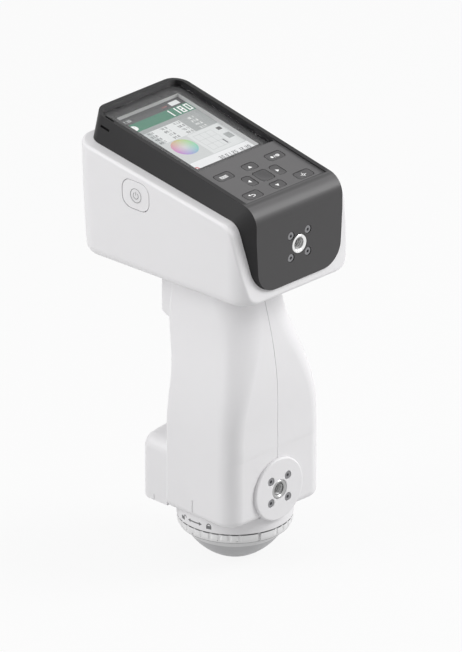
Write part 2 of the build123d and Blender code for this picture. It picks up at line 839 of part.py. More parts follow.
with BuildPart() as bayonet_ring:
    with BuildSketch(Plane.XZ):
        with BuildLine():
            Polyline(
                (nose_r + run_gap, ring_low_z),
                (ring_low_r, ring_low_z),
                (ring_r, ring_low_z + ring_lip_h + 1.0),
                (ring_r, ring_top_z),
                (neck_r + run_gap, ring_top_z),
                (neck_r + run_gap, neck_low_z + run_gap),
                (nose_flange_r + run_gap, neck_low_z + run_gap),
                (nose_flange_r + run_gap, ring_low_z + ring_lip_h),
                (nose_r + run_gap, ring_low_z + ring_lip_h),
                close=True,
            )
        make_face()
    revolve(axis=Axis.Z)
    pad_pitch = 360.0 / pad_count
    with Locations((0, 0, ring_low_z + ring_h / 2)):
        for pad in range(pad_count):
            with PolarLocations(ring_r + notch_r - notch_deep, notches_between_pads,
                                start_angle=index_angle + pad * pad_pitch + pad_half_angle,
                                angular_range=pad_pitch - 2 * pad_half_angle, endpoint=True):
                Cylinder(notch_r, 2 * ring_h, mode=Mode.SUBTRACT)
        with PolarLocations(ring_r, 1, start_angle=index_angle):
            Box(2 * index_deep, index_w, 2 * ring_h, mode=Mode.SUBTRACT)

with BuildPart() as target_mask:
    with BuildSketch(Plane.XZ):
        with BuildLine():
            ThreePointArc((nose_flat_r, 0), (nose_mid_r, nose_mid_z), (nose_r, nose_h))
            Polyline(
                (nose_r, nose_h),
                (nose_r, flange_low_z),
                (nose_flange_r, flange_low_z),
                (nose_flange_r, neck_low_z),
                (nose_bore_r + nose_slope * nose_h, neck_low_z),
                (nose_bore_r + nose_slope * nose_h, nose_h),
                (nose_bore_r + nose_slope * nose_floor_t, nose_floor_t),
                (port_r + 0.6, nose_floor_t),
                (port_r, nose_floor_t - 0.6),
                (port_r, 0),
                (nose_flat_r, 0),
            )
        make_face()
    revolve(axis=Axis.Z)
    fillet(target_mask.edges().filter_by(GeomType.CIRCLE).filter_by(
        lambda e: abs(e.radius - nose_flat_r) < 0.01), nose_edge_r)

with BuildPart() as port_seal:
    with Locations((0, 0, nose_floor_t)):
        Cylinder(seal_r, seal_t, align=(Align.CENTER, Align.CENTER, Align.MIN))
        Cylinder(port_r + 0.8, seal_t, align=(Align.CENTER, Align.CENTER, Align.MIN), mode=Mode.SUBTRACT)
    add(sphere_clearance(0), mode=Mode.SUBTRACT)

with BuildPart() as sphere_body:
    add(sphere_clearance(0))
    with Locations((0, 0, sphere_mid_z)):
        Cylinder(sphere_flange_r, 2 * sphere_flange_h)
        Sphere(sphere_r, mode=Mode.SUBTRACT)
        Cylinder(port_r + 0.8, far, align=(Align.CENTER, Align.CENTER, Align.MAX), mode=Mode.SUBTRACT)
    with Locations((0, guide_y, sphere_mid_z)):
        Cylinder(guide_r - 0.8, far, align=(Align.CENTER, Align.CENTER, Align.MIN), mode=Mode.SUBTRACT)
    with Locations(beam_plane):
        Cylinder(lamp_way_r, far, align=(Align.CENTER, Align.CENTER, Align.MIN), mode=Mode.SUBTRACT)

with BuildPart() as sphere_lower:
    add(sphere_body.part)
    split(bisect_by=Plane.XY.offset(sphere_mid_z), keep=Keep.BOTTOM)

with BuildPart() as sphere_upper:
    add(sphere_body.part)
    split(bisect_by=Plane.XY.offset(sphere_mid_z), keep=Keep.TOP)

with BuildPart() as mount_disc:
    with Locations(front_plane(disc_front, lower_mount_z)):
        Cylinder(disc_r, 6.0, align=(Align.CENTER, Align.CENTER, Align.MAX))
        fillet(mount_disc.edges().sort_by(Axis.Y)[0], disc_edge_r)
    add(handle.part, mode=Mode.SUBTRACT)
    Cylinder(collar_r + fit_gap, 2 * body_z, mode=Mode.SUBTRACT)
    with Locations(front_plane(disc_front, lower_mount_z)):
        Cylinder(insert_r, 4 * wall, mode=Mode.SUBTRACT)
        with GridLocations(mount_square, mount_square, 2, 2):
            Cylinder(screw_head_r + 0.1, 4 * wall, mode=Mode.SUBTRACT)

lower_plate_y = grip_front + wall
with BuildPart() as lower_mount_plate:
    add(mount_plate(lower_plate_y, lower_mount_z))

with BuildPart() as lower_mount_insert:
    with Locations(front_plane(disc_front, lower_mount_z)):
        add(mount_insert(insert_l))

with BuildPart() as lower_mount_screws:
    with Locations(front_plane(grip_front, lower_mount_z)):
        with GridLocations(mount_square, mount_square, 2, 2):
            add(mount_screw())

upper_plate_y = cover_front_y + cover_wall
with BuildPart() as upper_mount_plate:
    add(mount_plate(upper_plate_y, upper_mount_z))

with BuildPart() as upper_mount_insert:
    with Locations(front_plane(cover_front_y, upper_mount_z)):
        add(mount_insert(insert_l))

with BuildPart() as upper_mount_screws:
    with Locations(front_plane(cover_front_y + screw_head_h + screw_head_gap, upper_mount_z)):
        with GridLocations(mount_square, mount_square, 2, 2):
            add(mount_screw())

with BuildPart() as rear_housing:
    with BuildSketch(Plane.XZ.offset(-grip_back)):
        add(hump_outline(0))
    extrude(amount=-(hump_back - grip_back))
    fillet(rear_housing.faces().sort_by(Axis.Y)[-1].edges(), hump_edge_r)
    with BuildSketch(Plane.XZ.offset(-grip_back)):
        add(hump_outline(wall))
    extrude(amount=-(hump_back - grip_back - wall), mode=Mode.SUBTRACT)
    add(handle_outside, mode=Mode.SUBTRACT)
    Cylinder(sphere_way_r, 4 * body_z, mode=Mode.SUBTRACT)
    with Locations((-hump_half, hump_mark_y, body_z)):
        Box(2 * index_groove_deep, index_groove_w, 2 * foot_plate_t, mode=Mode.SUBTRACT)

with BuildPart() as lamp_holder:
    with Locations((0, (holder_front_y + holder_back_y) / 2, (holder_low_z + holder_top_z) / 2)):
        Box(2 * holder_half, holder_back_y - holder_front_y, holder_top_z - holder_low_z)
    add(sphere_clearance(fit_gap), mode=Mode.SUBTRACT)
    with Locations(lamp_plane):
        Cylinder(lamp_r + fit_gap, 4 * holder_half, mode=Mode.SUBTRACT)
    with Locations(beam_plane):
        Cylinder(lamp_way_r, lamp_reach, align=(Align.CENTER, Align.CENTER, Align.MIN), mode=Mode.SUBTRACT)

with BuildPart() as lamp:
    with Locations(lamp_plane):
        Cylinder(lamp_r, 2 * holder_half + 4.0)
    fillet(lamp.edges().filter_by(GeomType.CIRCLE), 1.0)

with BuildPart() as lamp_board:
    with Locations((0, holder_back_y, (holder_low_z + holder_top_z) / 2)):
        Box(2 * lamp_board_half, board_t, lamp_board_h, align=(Align.CENTER, Align.MIN, Align.CENTER))

with BuildPart() as chassis:
    with BuildSketch(Plane.XZ.offset(-chassis_y)):
        with BuildLine():
            Polyline(
                (-leg_out, body_z + foot_plate_t),
                (-leg_in, body_z + foot_plate_t),
                (-leg_in, arch_z),
                (leg_in, arch_z),
                (leg_in, body_z + foot_plate_t),
                (leg_out, body_z + foot_plate_t),
                (leg_out, shoulder_z),
                (spine_half, spine_z),
                (spine_half, neck_top_z - 2.0),
                (-spine_half, neck_top_z - 2.0),
                (-spine_half, spine_z),
                (-leg_out, shoulder_z),
                close=True,
            )
        make_face()
    extrude(amount=chassis_t)
    split(bisect_by=under_plane.offset(wall + chassis_t), keep=Keep.BOTTOM)
    with BuildSketch(under_plane.offset(wall)):
        with Locations((0, chassis_y - head_back + 2.0)):
            Rectangle(2 * flange_half, 2 * flange_reach)
    extrude(amount=chassis_t)
    with BuildSketch(Plane.XZ.offset(-chassis_y)):
        with Locations((0, spine_z - 14.0), (0, spine_z + 20.0)):
            Circle(6.0)
    extrude(amount=2 * chassis_t, both=True, mode=Mode.SUBTRACT)

with BuildPart() as spectrometer:
    with Locations((0, chassis_y - chassis_t, spectro_z)):
        Box(2 * spectro_half, spectro_deep, spectro_h, align=(Align.CENTER, Align.MAX, Align.MIN))
    fillet(spectrometer.edges().filter_by(Axis.Z), 2.0)
    with Locations((0, chassis_y - chassis_t - spectro_deep / 2, spectro_z + spectro_h)):
        with GridLocations(2 * spectro_half - 8.0, spectro_deep - 8.0, 2, 2):
            Cylinder(1.4, 1.2, align=(Align.CENTER, Align.CENTER, Align.MIN))

with BuildPart() as sensor_board:
    with Locations((0, chassis_y - chassis_t - spectro_deep, spectro_z + spectro_h / 2)):
        Box(2 * spectro_half - 2.0, board_t, spectro_h - 4.0, align=(Align.CENTER, Align.MAX, Align.CENTER))

with BuildPart() as light_guide:
    with Locations((0, guide_y, spectro_z)):
        Cylinder(guide_r, guide_l, align=(Align.CENTER, Align.CENTER, Align.MAX))
    add(sphere_clearance(0), mode=Mode.SUBTRACT)
    with Locations((0, guide_y, spectro_z)):
        Cylinder(guide_r - 1.2, 4 * guide_l, mode=Mode.SUBTRACT)

with BuildPart() as camera_module:
    with Locations((camera_x, chassis_y, camera_z)):
        Box(camera_w, camera_deep, camera_h, align=(Align.CENTER, Align.MIN, Align.MIN))
    add(sphere_clearance(fit_gap), mode=Mode.SUBTRACT)

with BuildPart() as battery_pack:
    with Locations((0, chassis_y, door_z)):
        Box(battery_w, grip_back - wall - fit_gap - chassis_y - 0.2, battery_h,
            align=(Align.CENTER, Align.MIN, Align.CENTER))
    fillet(battery_pack.edges().filter_by(Axis.X), 2.0)

with BuildPart() as battery_cover:
    with Locations((0, grip_back - door_t, door_z)):
        Box(2 * door_half - 2 * door_gap, far, door_h - 2 * door_gap,
            align=(Align.CENTER, Align.MIN, Align.CENTER))
    add(handle_outside, mode=Mode.INTERSECT)

with BuildPart() as lamp_capacitor:
    with Locations((0, chassis_y + capacitor_r, capacitor_z)):
        Cylinder(capacitor_r, capacitor_l)
    fillet(lamp_capacitor.edges().filter_by(GeomType.CIRCLE), 0.8)

with BuildPart() as trigger_housing:
    with BuildSketch(Plane.YZ.offset(-neck_half + 0.2)):
        with BuildLine():
            Polyline(
                (neck_back - 6.0, trigger_foot_z),
                (neck_back, trigger_foot_z),
                (trigger_back, trigger_slope_z),
                (trigger_back, neck_top_z),
                (neck_back - 6.0, neck_top_z),
                close=True,
            )
        make_face()
    extrude(amount=2 * neck_half - 0.4)
    fillet(trigger_housing.faces().sort_by(Axis.Y)[-1].edges().filter_by(Axis.Z), 1.2)
    split(bisect_by=under_plane, keep=Keep.BOTTOM)
    add(handle_outside, mode=Mode.SUBTRACT)
    with BuildSketch(Plane.XZ.offset(-trigger_back + wall)):
        with Locations((0, trigger_z)):
            Rectangle(trigger_w + 2 * (trigger_flange + key_gap), trigger_h + 2 * (trigger_flange + key_gap))
    extrude(amount=10.0, mode=Mode.SUBTRACT)
    with BuildSketch(Plane.XZ.offset(-trigger_back + wall)):
        with Locations((0, trigger_z)):
            RectangleRounded(trigger_w + 2 * key_gap, trigger_h + 2 * key_gap, trigger_r + key_gap)
    extrude(amount=-wall, mode=Mode.SUBTRACT)

with BuildPart() as measure_button:
    with BuildSketch(Plane.XZ.offset(-trigger_back - trigger_proud)):
        with Locations((0, trigger_z)):
            RectangleRounded(trigger_w, trigger_h, trigger_r)
    extrude(amount=trigger_proud + wall + stop_gap + trigger_flange_t)
    fillet(measure_button.faces().sort_by(Axis.Y)[-1].edges(), 0.3)
    with BuildSketch(Plane.XZ.offset(-trigger_flange_y)):
        with Locations((0, trigger_z)):
            Rectangle(trigger_w + 2 * trigger_flange, trigger_h + 2 * trigger_flange)
    extrude(amount=trigger_flange_t)

with BuildPart() as measure_switch:
    with Locations((0, neck_back - 1.0, trigger_z)):
        Box(8.0, trigger_switch_y - neck_back + 1.0, 8.0, align=(Align.CENTER, Align.MIN, Align.CENTER))
    add(handle_outside, mode=Mode.SUBTRACT)

pieces = {
    "head_case": head_case,
    "head_cover": head_cover,
    "display_window": display_window,
    "window_mask": window_mask,
    "display_frame": display_frame,
    "display_panel": display_panel,
    "key_mat": key_mat,
    "key_board": key_board,
    "main_board": main_board,
    **key_parts,
    "power_button": power_button,
    "power_switch": power_switch,
    "data_socket": data_socket,
    "case_screws": case_screws,
    "grip_shell_left": grip_shell_left,
    "grip_shell_right": grip_shell_right,
    "foot_plate": foot_plate,
    "trigger_housing": trigger_housing,
    "measure_button": measure_button,
    "measure_switch": measure_switch,
    "rear_housing": rear_housing,
    "battery_pack": battery_pack,
    "battery_cover": battery_cover,
    "chassis": chassis,
    "mount_disc": mount_disc,
    "lower_mount_insert": lower_mount_insert,
    "lower_mount_plate": lower_mount_plate,
    "lower_mount_screws": lower_mount_screws,
    "upper_mount_insert": upper_mount_insert,
    "upper_mount_plate": upper_mount_plate,
    "upper_mount_screws": upper_mount_screws,
    "collar": collar,
    "bayonet_ring": bayonet_ring,
    "target_mask": target_mask,
    "port_seal": port_seal,
    "sphere_lower": sphere_lower,
    "sphere_upper": sphere_upper,
    "lamp": lamp,
    "lamp_holder": lamp_holder,
    "lamp_board": lamp_board,
    "lamp_capacitor": lamp_capacitor,
    "light_guide": light_guide,
    "spectrometer": spectrometer,
    "sensor_board": sensor_board,
    "camera_module": camera_module,
}
for name, piece in pieces.items():
    piece.part.label = name
    export_step(piece.part, f"parts/{name}.step")
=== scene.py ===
"""Looks of a hand-held color spectrophotometer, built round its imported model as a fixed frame."""

import logging
import math
from dataclasses import dataclass, field
from enum import Enum

import bmesh
import bpy
import numpy as np
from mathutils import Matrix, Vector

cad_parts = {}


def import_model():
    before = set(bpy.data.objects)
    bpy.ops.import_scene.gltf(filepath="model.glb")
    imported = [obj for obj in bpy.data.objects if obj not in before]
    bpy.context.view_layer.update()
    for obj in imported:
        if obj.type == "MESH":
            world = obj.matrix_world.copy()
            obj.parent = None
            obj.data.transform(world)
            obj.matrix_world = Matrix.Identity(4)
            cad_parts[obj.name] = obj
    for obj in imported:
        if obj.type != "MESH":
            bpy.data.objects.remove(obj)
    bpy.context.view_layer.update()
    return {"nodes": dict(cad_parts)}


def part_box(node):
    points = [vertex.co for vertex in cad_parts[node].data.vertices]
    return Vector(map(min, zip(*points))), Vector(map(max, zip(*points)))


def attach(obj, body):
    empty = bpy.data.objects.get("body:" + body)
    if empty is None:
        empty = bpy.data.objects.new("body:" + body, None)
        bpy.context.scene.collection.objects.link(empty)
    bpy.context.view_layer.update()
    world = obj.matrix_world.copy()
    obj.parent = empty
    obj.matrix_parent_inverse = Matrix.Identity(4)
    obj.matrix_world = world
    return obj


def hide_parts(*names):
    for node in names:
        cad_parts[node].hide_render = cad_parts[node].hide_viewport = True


MM = 0.001
LOG = logging.getLogger("spectrophotometer")

Grid = np.ndarray
Color = tuple[float, float, float]

# The panel that carries display and keys: its slope, and the point on it at the display's centre
TILT_DEG = 10.14
PANEL_Y = 31.9
PANEL_Z = 212.85
RISE = math.sin(math.radians(TILT_DEG))
RUN = math.cos(math.radians(TILT_DEG))

# Points across a print, enough to follow a dished key, and points round a ring
ACROSS = 4
AROUND = 33

# Mould edges: how near points are merged, the angle that counts as an edge and the normals' weight
MERGE_MM = 0.002
EDGE_DEG = 35.0
EDGE_SEGMENTS = 2
NORMAL_WEIGHT = 90

# Finishes: size of hand-polished spots, radians of tool lines per millimetre and the display's strength
RUB_MM = 3.0
TURNED_LINES = 24.0
BRUSHED_LINES = 30.0
GLOW = 0.86


class Texture(Enum):
    """The kinds of surface that the makers of the pieces leave on them."""

    MOULDED = "moulded"
    BRUSHED = "brushed"
    TURNED = "turned"
    CIRCUIT = "circuit"
    CLEAR = "clear"
    LIT = "lit"
    INK = "ink"


class Wire:
    """A node's output socket, on which arithmetic adds Math nodes."""

    def __init__(self, graph: "Graph", socket: bpy.types.NodeSocket | None) -> None:
        """Keep the graph that grows and the socket that is read.

        Args:
            graph: The material's graph.
            socket: The output socket that carries the value; an output node has none.
        """
        self.graph = graph
        self.socket = socket

    def _math(self, operation: str, *values: "Wire | float") -> "Wire":
        """Add one Math node.

        Args:
            operation: The Math node's operation.
            values: Its inputs, in order.

        Returns:
            The node's result.
        """
        return self.graph.node("ShaderNodeMath", {"operation": operation}, dict(enumerate(values)))

    def __add__(self, other: "Wire | float") -> "Wire":
        """Return the sum."""
        return self._math("ADD", self, other)

    __radd__ = __add__

    def __sub__(self, other: "Wire | float") -> "Wire":
        """Return the difference."""
        return self._math("SUBTRACT", self, other)

    def __rsub__(self, other: "Wire | float") -> "Wire":
        """Return the difference from a number."""
        return self._math("SUBTRACT", other, self)

    def __mul__(self, other: "Wire | float") -> "Wire":
        """Return the product."""
        return self._math("MULTIPLY", self, other)

    __rmul__ = __mul__

    def __abs__(self) -> "Wire":
        """Return the absolute value."""
        return self._math("ABSOLUTE", self)

    def __lt__(self, other: "Wire | float") -> "Wire":
        """Return one where this value is the smaller, else zero."""
        return self._math("LESS_THAN", self, other)

    def __gt__(self, other: "Wire | float") -> "Wire":
        """Return one where this value is the greater, else zero."""
        return self._math("GREATER_THAN", self, other)

    def root(self) -> "Wire":
        """Return the square root."""
        return self._math("SQRT", self)

    def sine(self) -> "Wire":
        """Return the sine of the value in radians."""
        return self._math("SINE", self)

    def either(self, other: "Wire | float") -> "Wire":
        """Return the greater of two values."""
        return self._math("MAXIMUM", self, other)

    def ramp(self, low: float, high: float) -> "Wire":
        """Rise smoothly from zero at low to one at high.

        Args:
            low: The value below which the result is zero.
            high: The value above which the result is one.

        Returns:
            The smooth step.
        """
        settings = {"interpolation_type": "SMOOTHSTEP"}
        inputs = {"Value": self, "From Min": low, "From Max": high}
        return self.graph.node("ShaderNodeMapRange", settings, inputs)


class Graph:
    """The node graph of a material or a world, with one method that makes every node."""

    def __init__(self, owner: bpy.types.Material | bpy.types.World) -> None:
        """Empty the owner's graph.

        Args:
            owner: The material or world that the nodes are for.
        """
        self.owner = owner
        owner.use_nodes = True
        self.tree = owner.node_tree
        self.tree.nodes.clear()

    def node(
        self,
        kind: str,
        settings: dict[str, object],
        inputs: dict[str | int, object],
        output: str | int = 0,
    ) -> Wire:
        """Make a node, set it up and link what feeds it.

        Args:
            kind: The node's type.
            settings: Its properties, set before its sockets.
            inputs: A value or a wire for each socket that is used.
            output: The output socket to return.

        Returns:
            The chosen output as a wire.
        """
        made = self.tree.nodes.new(kind)
        for key, value in settings.items():
            setattr(made, key, value)
        for key, value in inputs.items():
            if isinstance(value, Wire):
                self.tree.links.new(value.socket, made.inputs[key])
            else:
                made.inputs[key].default_value = value
        return Wire(self, made.outputs[output] if made.outputs else None)

    def position(self) -> tuple[Wire, Wire, Wire]:
        """Return the point's three object coordinates in millimetres."""
        place = self.node("ShaderNodeTexCoord", {}, {}, "Object")
        split = {"Vector": place}
        axes = [self.node("ShaderNodeSeparateXYZ", {}, split, axis) for axis in "XYZ"]
        return axes[0] * 1000.0, axes[1] * 1000.0, axes[2] * 1000.0

    def noise(self, size_mm: float, detail: float = 2.0) -> Wire:
        """Return an even noise from zero to one whose grains have about this size.

        Args:
            size_mm: The size of a grain in millimetres.
            detail: How many finer octaves it holds.

        Returns:
            The noise's factor.
        """
        place = self.node("ShaderNodeTexCoord", {}, {}, "Object")
        inputs = {"Vector": place, "Scale": 1000.0 / size_mm, "Detail": detail}
        return self.node("ShaderNodeTexNoise", {}, inputs)

    def mix(self, factor: Wire, low: Color, high: Color) -> Wire:
        """Blend two colours.

        Args:
            factor: Zero for the first colour, one for the second.
            low: The first colour.
            high: The second colour.

        Returns:
            The blended colour.
        """
        inputs = {0: factor, 6: (*low, 1.0), 7: (*high, 1.0)}
        return self.node("ShaderNodeMix", {"data_type": "RGBA"}, inputs, 2)

    def bump(self, height: Wire, distance_mm: float, strength: float = 1.0) -> Wire:
        """Turn a height into a normal.

        Args:
            height: The height from zero to one.
            distance_mm: What a height of one stands for.
            strength: How much of the slope is used.

        Returns:
            The bumped normal.
        """
        inputs = {"Height": height, "Distance": distance_mm * MM, "Strength": strength}
        return self.node("ShaderNodeBump", {}, inputs)

    def finish(self, inputs: dict[str | int, object]) -> bpy.types.Material:
        """Put the main shader on the material's output.

        Args:
            inputs: The shader's sockets.

        Returns:
            The finished material.
        """
        shader = self.node("ShaderNodeBsdfPrincipled", {}, inputs)
        self.node("ShaderNodeOutputMaterial", {}, {"Surface": shader})
        return self.owner


@dataclass(frozen=True)
class Finish:
    """One finish: its colour, its gloss and the grain that its process leaves."""

    name: str
    color: Color
    roughness: float
    texture: Texture = Texture.MOULDED
    metallic: float = 0.0
    grain_mm: float = 0.35
    depth_mm: float = 0.006
    tone: float = 0.04
    axis: tuple[float, float] = (0.0, 0.0)
    cloud_mm: float = 18.0

    def shade(self, share: float) -> Color:
        """Return the colour made lighter or darker by a share of itself."""
        return tuple(min(1.0, channel * (1.0 + share)) for channel in self.color)

    def build(self) -> bpy.types.Material:
        """Make the material that the finish describes.

        Returns:
            The material.
        """
        graph = Graph(bpy.data.materials.new(self.name))
        if self.texture is Texture.CLEAR:
            return self._clear(graph)
        if self.texture is Texture.LIT:
            return self._lit(graph)
        if self.texture is Texture.CIRCUIT:
            return self._circuit(graph)
        if self.texture in (Texture.BRUSHED, Texture.TURNED):
            return self._metal(graph)
        return self._plain(graph)

    def _plain(self, graph: Graph) -> bpy.types.Material:
        """Moulded plastic or ink: a fine eroded grain, with faint handling marks in its gloss."""
        grain = graph.noise(self.grain_mm, 3.0)
        cloud = graph.noise(self.cloud_mm)
        rub = graph.noise(RUB_MM, 4.0).ramp(0.52, 0.72)
        tint = graph.mix(cloud, self.shade(-self.tone), self.shade(self.tone))
        gloss = self.roughness + 0.05 * (cloud - 0.5) - 0.04 * rub
        return graph.finish(
            {
                "Base Color": tint,
                "Roughness": gloss,
                "Metallic": self.metallic,
                "Normal": graph.bump(grain, self.depth_mm),
            }
        )

    def _metal(self, graph: Graph) -> bpy.types.Material:
        """Metal with fine lines: circles round an axis where it was turned, else along one way."""
        x, y, z = graph.position()
        if self.texture is Texture.TURNED:
            out_x, out_z = x - self.axis[0], z - self.axis[1]
            across = (out_x * out_x + out_z * out_z).root()
            lines = (across * TURNED_LINES + 0.3 * graph.noise(1.5)).sine()
        else:
            lines = ((x + 0.25 * y) * BRUSHED_LINES + 6.0 * graph.noise(6.0)).sine()
        cloud = graph.noise(4.0, 3.0)
        tint = graph.mix(cloud, self.shade(-self.tone), self.shade(self.tone))
        return graph.finish(
            {
                "Base Color": tint,
                "Roughness": self.roughness + 0.08 * (cloud - 0.5) + 0.03 * lines,
                "Metallic": self.metallic,
                "Normal": graph.bump(lines * 0.5 + 0.5, self.depth_mm),
            }
        )

    def _circuit(self, graph: Graph) -> bpy.types.Material:
        """Solder mask over a net of tracks, which stand a little proud of it."""
        x, y, z = graph.position()
        pitch_x, pitch_yz, gap_x, gap_yz = 2.4, 1.9, 0.82, 0.86
        lanes = ((x * pitch_x).sine() > gap_x).either(((y + z) * pitch_yz).sine() > gap_yz)
        blocks = graph.noise(6.0, 0.0) > 0.5
        tracks = lanes * blocks
        tint = graph.mix(tracks, self.color, self.shade(0.6))
        return graph.finish(
            {
                "Base Color": tint,
                "Roughness": self.roughness + 0.1 * (graph.noise(2.0) - 0.5),
                "Normal": graph.bump(tracks, self.depth_mm),
            }
        )

    def _clear(self, graph: Graph) -> bpy.types.Material:
        """A thin clear pane, polished, with the faint smears of a wiped cover."""
        smear = graph.noise(5.0, 4.0).ramp(0.45, 0.8)
        gloss = self.roughness + 0.03 * smear
        mirror = {"Base Color": (1.0, 1.0, 1.0, 1.0), "Metallic": 1.0, "Roughness": gloss}
        shine = graph.node("ShaderNodeBsdfPrincipled", {}, mirror)
        through = graph.node("ShaderNodeBsdfTransparent", {}, {"Color": (*self.color, 1.0)})
        slant = graph.node("ShaderNodeLayerWeight", {}, {"Blend": 0.5}, "Facing")
        facing_share, slant_share = 0.018, 0.4
        share = facing_share + slant_share * (slant * slant * slant * slant)
        blend = graph.node("ShaderNodeMixShader", {}, {0: share, 1: through, 2: shine})
        graph.node("ShaderNodeOutputMaterial", {}, {"Surface": blend})
        return graph.owner

    def _lit(self, graph: Graph) -> bpy.types.Material:
        """A lit display: it glows in the colour that the mesh's tint holds at each place."""
        tint = graph.node("ShaderNodeAttribute", {"attribute_name": "tint"}, {}, "Color")
        cells = 0.96 + 0.04 * graph.noise(0.2)
        glow = graph.node("ShaderNodeVectorMath", {"operation": "SCALE"}, {0: tint, "Scale": cells})
        return graph.finish(
            {
                "Base Color": (0.01, 0.01, 0.01, 1.0),
                "Roughness": self.roughness,
                "Emission Color": glow,
                "Emission Strength": GLOW,
            }
        )


@dataclass(frozen=True)
class CoverFinish(Finish):
    """The charcoal cover: its panel is a lighter tone than its flanks and rim; its front is lighter partly by
    painted light, with a painted highlight.
    """

    light: Color = (0.108, 0.106, 0.108)
    front_tone_and_painted_light_share: float = 0.56
    cloud_mm: float = 14.0
    floor_n: float = 1.15
    half: float = 27.1
    back_s: float = -31.7
    front_s: float = -66.0
    ramp_s: float = 3.0

    def build(self) -> bpy.types.Material:
        """Make the two-tone charcoal material.

        The keypad's floor is lightest. The front gets a share of that tone, partly painted light, and a
        painted highlight lightens its upper edge.

        Returns:
            The material.
        """
        graph = Graph(bpy.data.materials.new(self.name))
        x, y, z = graph.position()
        along = (y - PANEL_Y) * RUN + (z - PANEL_Z) * RISE
        out = (z - PANEL_Z) * RUN - (y - PANEL_Y) * RISE
        in_length = (along < self.back_s) * (along > self.front_s - self.ramp_s)
        sunk = (abs(x) < self.half) * (out < self.floor_n) * in_length
        facing = graph.node("ShaderNodeTexCoord", {}, {}, "Normal")
        ahead = graph.node("ShaderNodeSeparateXYZ", {}, {"Vector": facing}, "Y")
        side = graph.node("ShaderNodeSeparateXYZ", {}, {"Vector": facing}, "X")
        # Painted light: the front is lightened by which way its surface faces, partly a lighter front tone
        # and partly painted light.
        nose = (1.0 - abs(side).ramp(0.25, 0.6)) * (1.0 - along.ramp(self.front_s - 2.5, self.front_s + 0.5))
        front = -1.0 * ahead
        # Painted highlight: a light band along the front's upper rounded edge, picked out by the surface's
        # slope.
        painted_crest_highlight = front.ramp(0.3, 0.6) * (1.0 - front.ramp(0.75, 0.95)) * nose
        face = sunk.either(self.front_tone_and_painted_light_share * nose.either(front.ramp(0.75, 0.9)) + 0.9 * painted_crest_highlight)
        cloud = graph.noise(self.cloud_mm)
        level = face * 0.97 + 0.03 * cloud
        tint = graph.mix(level, self.color, self.light)
        return graph.finish(
            {
                "Base Color": tint,
                "Roughness": self.roughness + 0.05 * (cloud - 0.5),
                "Specular IOR Level": 0.2,
                "Normal": graph.bump(graph.noise(self.grain_mm, 3.0), self.depth_mm),
            }
        )


@dataclass(frozen=True)
class BandFinish(Finish):
    """A turned piece with bands of another tone between pairs of heights; on the collar and the ring the dark
    bands are painted shade in the gaps between parts.
    """

    band: Color = (0.72, 0.72, 0.725)
    heights: tuple[tuple[float, float], ...] = ((11.4, 15.5),)
    blur_mm: float = 0.2
    cloud_mm: float = 12.0

    def build(self) -> bpy.types.Material:
        """Make the banded material.

        Returns:
            The material.
        """
        graph = Graph(bpy.data.materials.new(self.name))
        height = graph.position()[2]
        cloud = graph.noise(self.cloud_mm)
        bands = []
        for low, high in self.heights:
            start = height.ramp(low - self.blur_mm, low + self.blur_mm)
            bands.append(start * (1.0 - height.ramp(high - self.blur_mm, high + self.blur_mm)))
        level = bands[0]
        for band in bands[1:]:
            level = level.either(band)
        return graph.finish(
            {
                "Base Color": graph.mix(level, self.color, self.band),
                "Roughness": self.roughness + 0.06 * (cloud - 0.5),
                "Normal": graph.bump(graph.noise(self.grain_mm, 3.0), self.depth_mm),
            }
        )


WHITE = Finish("white_moulding", (0.775, 0.768, 0.78), 0.42, tone=0.012)
# The collar's dark band is painted shade in the gap between the collar and the bayonet ring.
COLLAR_WHITE = BandFinish("collar_moulding", (0.775, 0.768, 0.78), 0.42, band=(0.16, 0.16, 0.165),
                          heights=((19.0, 20.42),), blur_mm=0.06)
# The ring's two dark bands are painted shade in the gaps at its top and bottom edges.
RING_WHITE = BandFinish("ring_moulding", (0.79, 0.788, 0.792), 0.36, band=(0.2, 0.2, 0.205),
                        heights=((19.68, 21.0), (14.0, 15.42)), blur_mm=0.06)
CHARCOAL = CoverFinish("charcoal_moulding", (0.016, 0.0156, 0.0164), 0.4, depth_mm=0.008, tone=0.05)
NOSE_GREY = BandFinish("nose_moulding", (0.49, 0.49, 0.5), 0.38, tone=0.03)
KEY_GREY = Finish("key_rubber", (0.052, 0.05, 0.052), 0.5, tone=0.05)
KEY_DARK = Finish("centre_key_rubber", (0.035, 0.034, 0.036), 0.42, tone=0.05)
BLACK_PRINT = Finish("window_border_print", (0.008, 0.008, 0.009), 0.3, tone=0.05)
FRAME_GREY = Finish("display_frame_moulding", (0.52, 0.52, 0.52), 0.5, tone=0.03)
PANE = Finish("window_pane", (1.0, 1.0, 1.0), 0.02, Texture.CLEAR)
LIT_PANEL = Finish("lit_panel", (1.0, 1.0, 1.0), 0.25, Texture.LIT)
DARK_PANEL = Finish("panel_edge", (0.02, 0.02, 0.022), 0.3)
INK_WHITE = Finish("white_ink", (0.86, 0.86, 0.86), 0.55, Texture.INK, grain_mm=0.12, depth_mm=0.002)
INK_GREY = Finish("grey_ink", (0.16, 0.16, 0.165), 0.55, Texture.INK, grain_mm=0.12, depth_mm=0.002)
RUBBER = Finish("black_rubber", (0.02, 0.02, 0.02), 0.7, grain_mm=0.5, depth_mm=0.02)
BOARD = Finish("solder_mask", (0.02, 0.12, 0.05), 0.32, Texture.CIRCUIT, depth_mm=0.02)
SWITCH = Finish("switch_moulding", (0.02, 0.02, 0.02), 0.4)
STEEL = Finish("machined_steel", (0.58, 0.58, 0.59), 0.3, Texture.BRUSHED, 1.0, depth_mm=0.003)
SCREW_STEEL = Finish("screw_steel", (0.27, 0.27, 0.28), 0.34, Texture.BRUSHED, 1.0, depth_mm=0.003)
